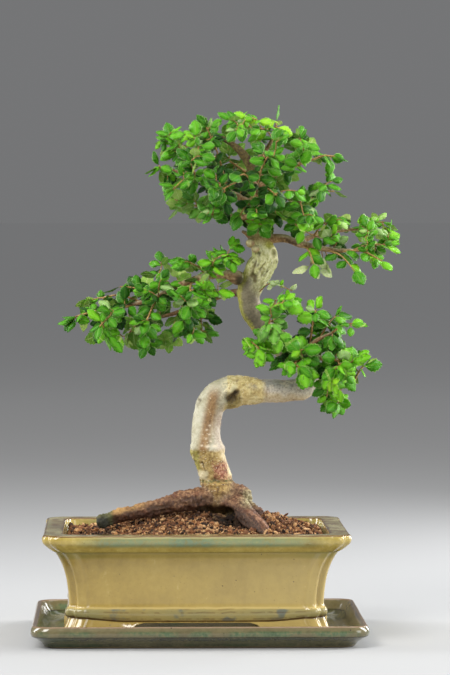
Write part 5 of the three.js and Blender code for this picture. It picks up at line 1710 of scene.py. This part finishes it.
# %% Leaf and twig finishes
def leaf_finish():
    leaf = Finish("small glossy leaf")
    blade, tint = leaf.named("blade", "Vector"), leaf.named("tint", "Vector")
    across, along, under = leaf.parts(blade)
    chance, youth, pale = leaf.parts(tint)
    mottle = leaf.noise(3.2, 3, 0.6)
    tone = chance * 0.9 + mottle * 0.16 - 0.06 + leaf.z.rise(180, 440) * 0.05
    upper = leaf.ramp(
        tone,
        (0.04, 6, 32, 2), (0.24, 20, 72, 4), (0.46, 52, 124, 12),
        (0.68, 80, 158, 20), (0.86, 112, 190, 28), (0.97, 162, 218, 50),
    )
    light = tone.rise(0.18, 0.5)
    # Painted highlight: pale leaf edges, stronger on lighter leaves.
    edge = abs(across).rise(0.8, 1.0)
    upper = leaf.mix(edge * (0.2 + 0.5 * light), upper, (172, 210, 118))
    midrib = abs(across).fall(0.03, 0.12)
    slant = (along - abs(across) * 0.2) * 9.0
    vein = slant.fraction().band(0.5, 0.05, 0.16) * abs(across).fall(0.7, 0.95) * along.rise(0.1, 0.2)
    upper = leaf.mix(midrib * (0.08 + 0.2 * light), upper, (140, 184, 64))
    upper = leaf.mix(vein * (0.06 + 0.26 * light), upper, (140, 186, 76))
    fleck = youth.rise(0.86, 0.95) * mottle.rise(0.5, 0.66)
    upper = leaf.mix(fleck * 0.2, upper, (150, 160, 50))
    lower = leaf.ramp(tone, (0.1, 44, 92, 16), (0.5, 102, 150, 44), (0.9, 178, 208, 108))
    lower = leaf.mix((midrib + vein * 0.5) * 0.45, lower, (206, 220, 150))
    leaf.colour = leaf.mix(under, upper, lower)
    leaf.paint(pale * 0.9, leaf.mix(midrib.larger(vein), (204, 216, 156), (232, 238, 204)))
    stalk = along.fall(0.06, 0.12)
    leaf.paint(stalk, (150, 118, 60))
    normal = leaf.bump(midrib * (-0.6) - vein * 0.7 + mottle * 0.3, 0.22)
    return leaf.surface(
        Roughness=0.3 + 0.14 * mottle + 0.3 * under, Normal=normal,
        Specular_IOR_Level=0.2,
        Subsurface_Weight=0.1, Subsurface_Radius=(0.3, 0.6, 0.1), Subsurface_Scale=0.001,
    )


def twig_finish():
    twig = Finish("young red-brown twig")
    speck = twig.noise(1.4, 4, 0.65)
    twig.colour = twig.ramp(
        speck, (0.34, 98, 66, 34), (0.48, 146, 110, 60), (0.58, 180, 146, 86), (0.7, 208, 182, 124)
    )
    return twig.surface(Roughness=0.6 + 0.15 * speck, Normal=twig.bump(speck, 0.2))


# %% Pieces of foliage
finishes = [leaf_finish(), twig_finish()]
# Leaves near a spot are lighter, darker or paler: where it is across and up, its reach, and what it
# adds to tone and to paleness
SPOTS = np.array([
    (59, 433, 8, 0.5, 0), (47, 347, 7, 0.25, 0), (108, 397, 6, 0.12, 0), (-1, 358, 7, 0.15, 0.15),
    (14, 400, 14, -0.4, 0), (26, 378, 12, -0.3, 0), (-68, 252, 6, 0.28, 0), (-5, 248, 6, 0.3, 0),
    (9, 257, 6, 0.12, 0), (111, 220, 7, 0.1, 0), (108, 190, 6, 0.12, 0), (157, 314, 6, 0.2, 0),
    (60, 262, 9, -0.15, 0.12), (-30, 268, 12, -0.12, 0),
])
for name in SPRAYS:
    pad = PADS[name.split("_")[0]]
    spread = np.ptp(np.array(pad["outline"]), axis=0) / 2
    feet = np.array(leaves[name])[:, :3]
    off = (feet - pad["centre"]) / [spread[0], pad["depth"][1], spread[1]]
    # Painted shade: leaves deep in a pad are darker, those at its edge lighter.
    painted_outer_light = np.clip((np.linalg.norm(off, axis=1) - 0.35) / 0.75, 0, 1) + pad["tone"]
    from_spots = np.linalg.norm(feet[:, None, [0, 2]] - SPOTS[:, :2], axis=2) / SPOTS[:, 2]
    spots = np.exp(-(from_spots**2)) @ SPOTS[:, 3:]
    points, faces, values, under = leaf_shapes(leaves[name], np.column_stack([0.5 * painted_outer_light - 0.05, spots]))
    shapes = [limb(line, np.linspace(thick, thin, len(line)), 4) for line, thick, thin in twigs[name]]
    twig_points, twig_faces = gathered(shapes)
    quads = np.concatenate([faces[0]] + [part + len(points) for part in twig_faces if part.shape[1] == 4])
    fans = np.concatenate([faces[1]] + [part + len(points) for part in twig_faces if part.shape[1] == 3])
    corners = {}
    for key, (quad_values, fan_values) in values.items():
        blank_quads = np.zeros((quads.size - len(quad_values), 3))
        blank_fans = np.zeros((fans.size - len(fan_values), 3))
        corners[key] = np.concatenate([quad_values, blank_quads, fan_values, blank_fans])
    marks = np.zeros(len(quads) + len(fans), int)
    marks[len(faces[0]):len(quads)] = 1
    marks[len(quads) + len(faces[1]):] = 1
    smooth = np.ones(len(marks), bool)
    smooth[:len(under[0])] = ~under[0]
    smooth[len(quads):len(quads) + len(under[1])] = ~under[1]
    points = np.concatenate([points, twig_points])
    mesh = make_mesh(
        f"leaves_{name}", points, [quads, fans], corner_values=corners, marks=marks, smooth=smooth
    )
    add_piece(f"leaves_{name}", mesh, finishes, [f"spray_{name}"])

# %% [markdown]
# The picture is taken in a plain studio: a big soft light from the front left, a weaker one from the
# right, narrow ones that draw the edges, and one from above. The floor grows paler far away.

# %% Floor
FLOOR_HALF = 60000.0
floor_corners = np.array([[-1, -1, 0], [1, -1, 0], [1, 1, 0], [-1, 1, 0]]) * FLOOR_HALF
floor_mesh = make_mesh("floor", floor_corners, [np.array([[0, 1, 2, 3]])], smooth=False)
floor_finish = Finish("pale floor")
far = (floor_finish.x * floor_finish.x + floor_finish.y * floor_finish.y).root().rise(500, 4000)
floor_finish.colour = floor_finish.mix(far, (178, 179, 180), (250, 250, 250))
floor_mesh.materials.append(floor_finish.surface(Roughness=0.95, Specular_IOR_Level=0.0))
floor = bpy.data.objects.new("floor", floor_mesh)
bpy.context.scene.collection.objects.link(floor)


# %% Lights
AIMED_AT = Vector((20, 0, 200))


def soft_light(name, place, width, height, watts, tint=(1.0, 1.0, 1.0)):
    """A rectangular lamp at `place`, turned so that its minus Z points at AIMED_AT; millimetres."""
    lamp = bpy.data.lights.new(name, "AREA")
    lamp.shape = "RECTANGLE"
    lamp.size, lamp.size_y = width * MM, height * MM
    lamp.energy = watts
    lamp.color = tint
    holder = bpy.data.objects.new(name, lamp)
    holder.location = [v * MM for v in place]
    holder.rotation_euler = (AIMED_AT - Vector(place)).to_track_quat("-Z", "Y").to_euler()
    bpy.context.scene.collection.objects.link(holder)


soft_light("key light", (-900, -1300, 1500), 900, 900, 34, (1.0, 0.98, 0.95))
soft_light("fill light", (1500, -1300, 700), 900, 1200, 15)
soft_light("left edge light", (-1200, 250, 720), 320, 1100, 14)
soft_light("right edge light", (1200, 150, 680), 280, 1100, 18)
soft_light("rim light", (900, 900, 480), 160, 900, 7)
soft_light("top light", (100, 200, 1700), 1200, 1200, 9)

BACKDROP_COLOUR = (0.93, 0.94, 0.96, 1.0)
BACKDROP_STRENGTH = 0.19
world = bpy.data.worlds.new("pale studio")
world.use_nodes = True
bpy.context.scene.world = world
backdrop = world.node_tree.nodes["Background"]
backdrop.inputs["Color"].default_value = BACKDROP_COLOUR
backdrop.inputs["Strength"].default_value = BACKDROP_STRENGTH

# %% [markdown]
# The camera's place was worked out from the picture: the pot's known corners and rims fix how far away
# it stood, how high, and how it was turned, so the render lies over the photograph.

# %% Camera
CAMERA_PLACE = (-0.0612, -3.1656, 0.3651)
CAMERA_LENS = 200.77
CAMERA_SENSOR = 36.0
CAMERA_DOWN = 0.03614
CAMERA_RIGHT = 0.02654
CAMERA_REACH = 200
lens = bpy.data.cameras.new("camera")
lens.sensor_width = CAMERA_SENSOR
lens.lens = CAMERA_LENS
lens.clip_end = CAMERA_REACH
camera = bpy.data.objects.new("camera", lens)
camera.location = CAMERA_PLACE
camera.rotation_euler = (np.pi / 2 - CAMERA_DOWN, 0, -CAMERA_RIGHT)
bpy.context.scene.collection.objects.link(camera)
bpy.context.scene.camera = camera
bpy.context.scene.view_settings.view_transform = "Standard"

# %% [markdown]
# Last, the scene is brought up to date.

# %% Bringing the scene up to date
bpy.context.view_layer.update()
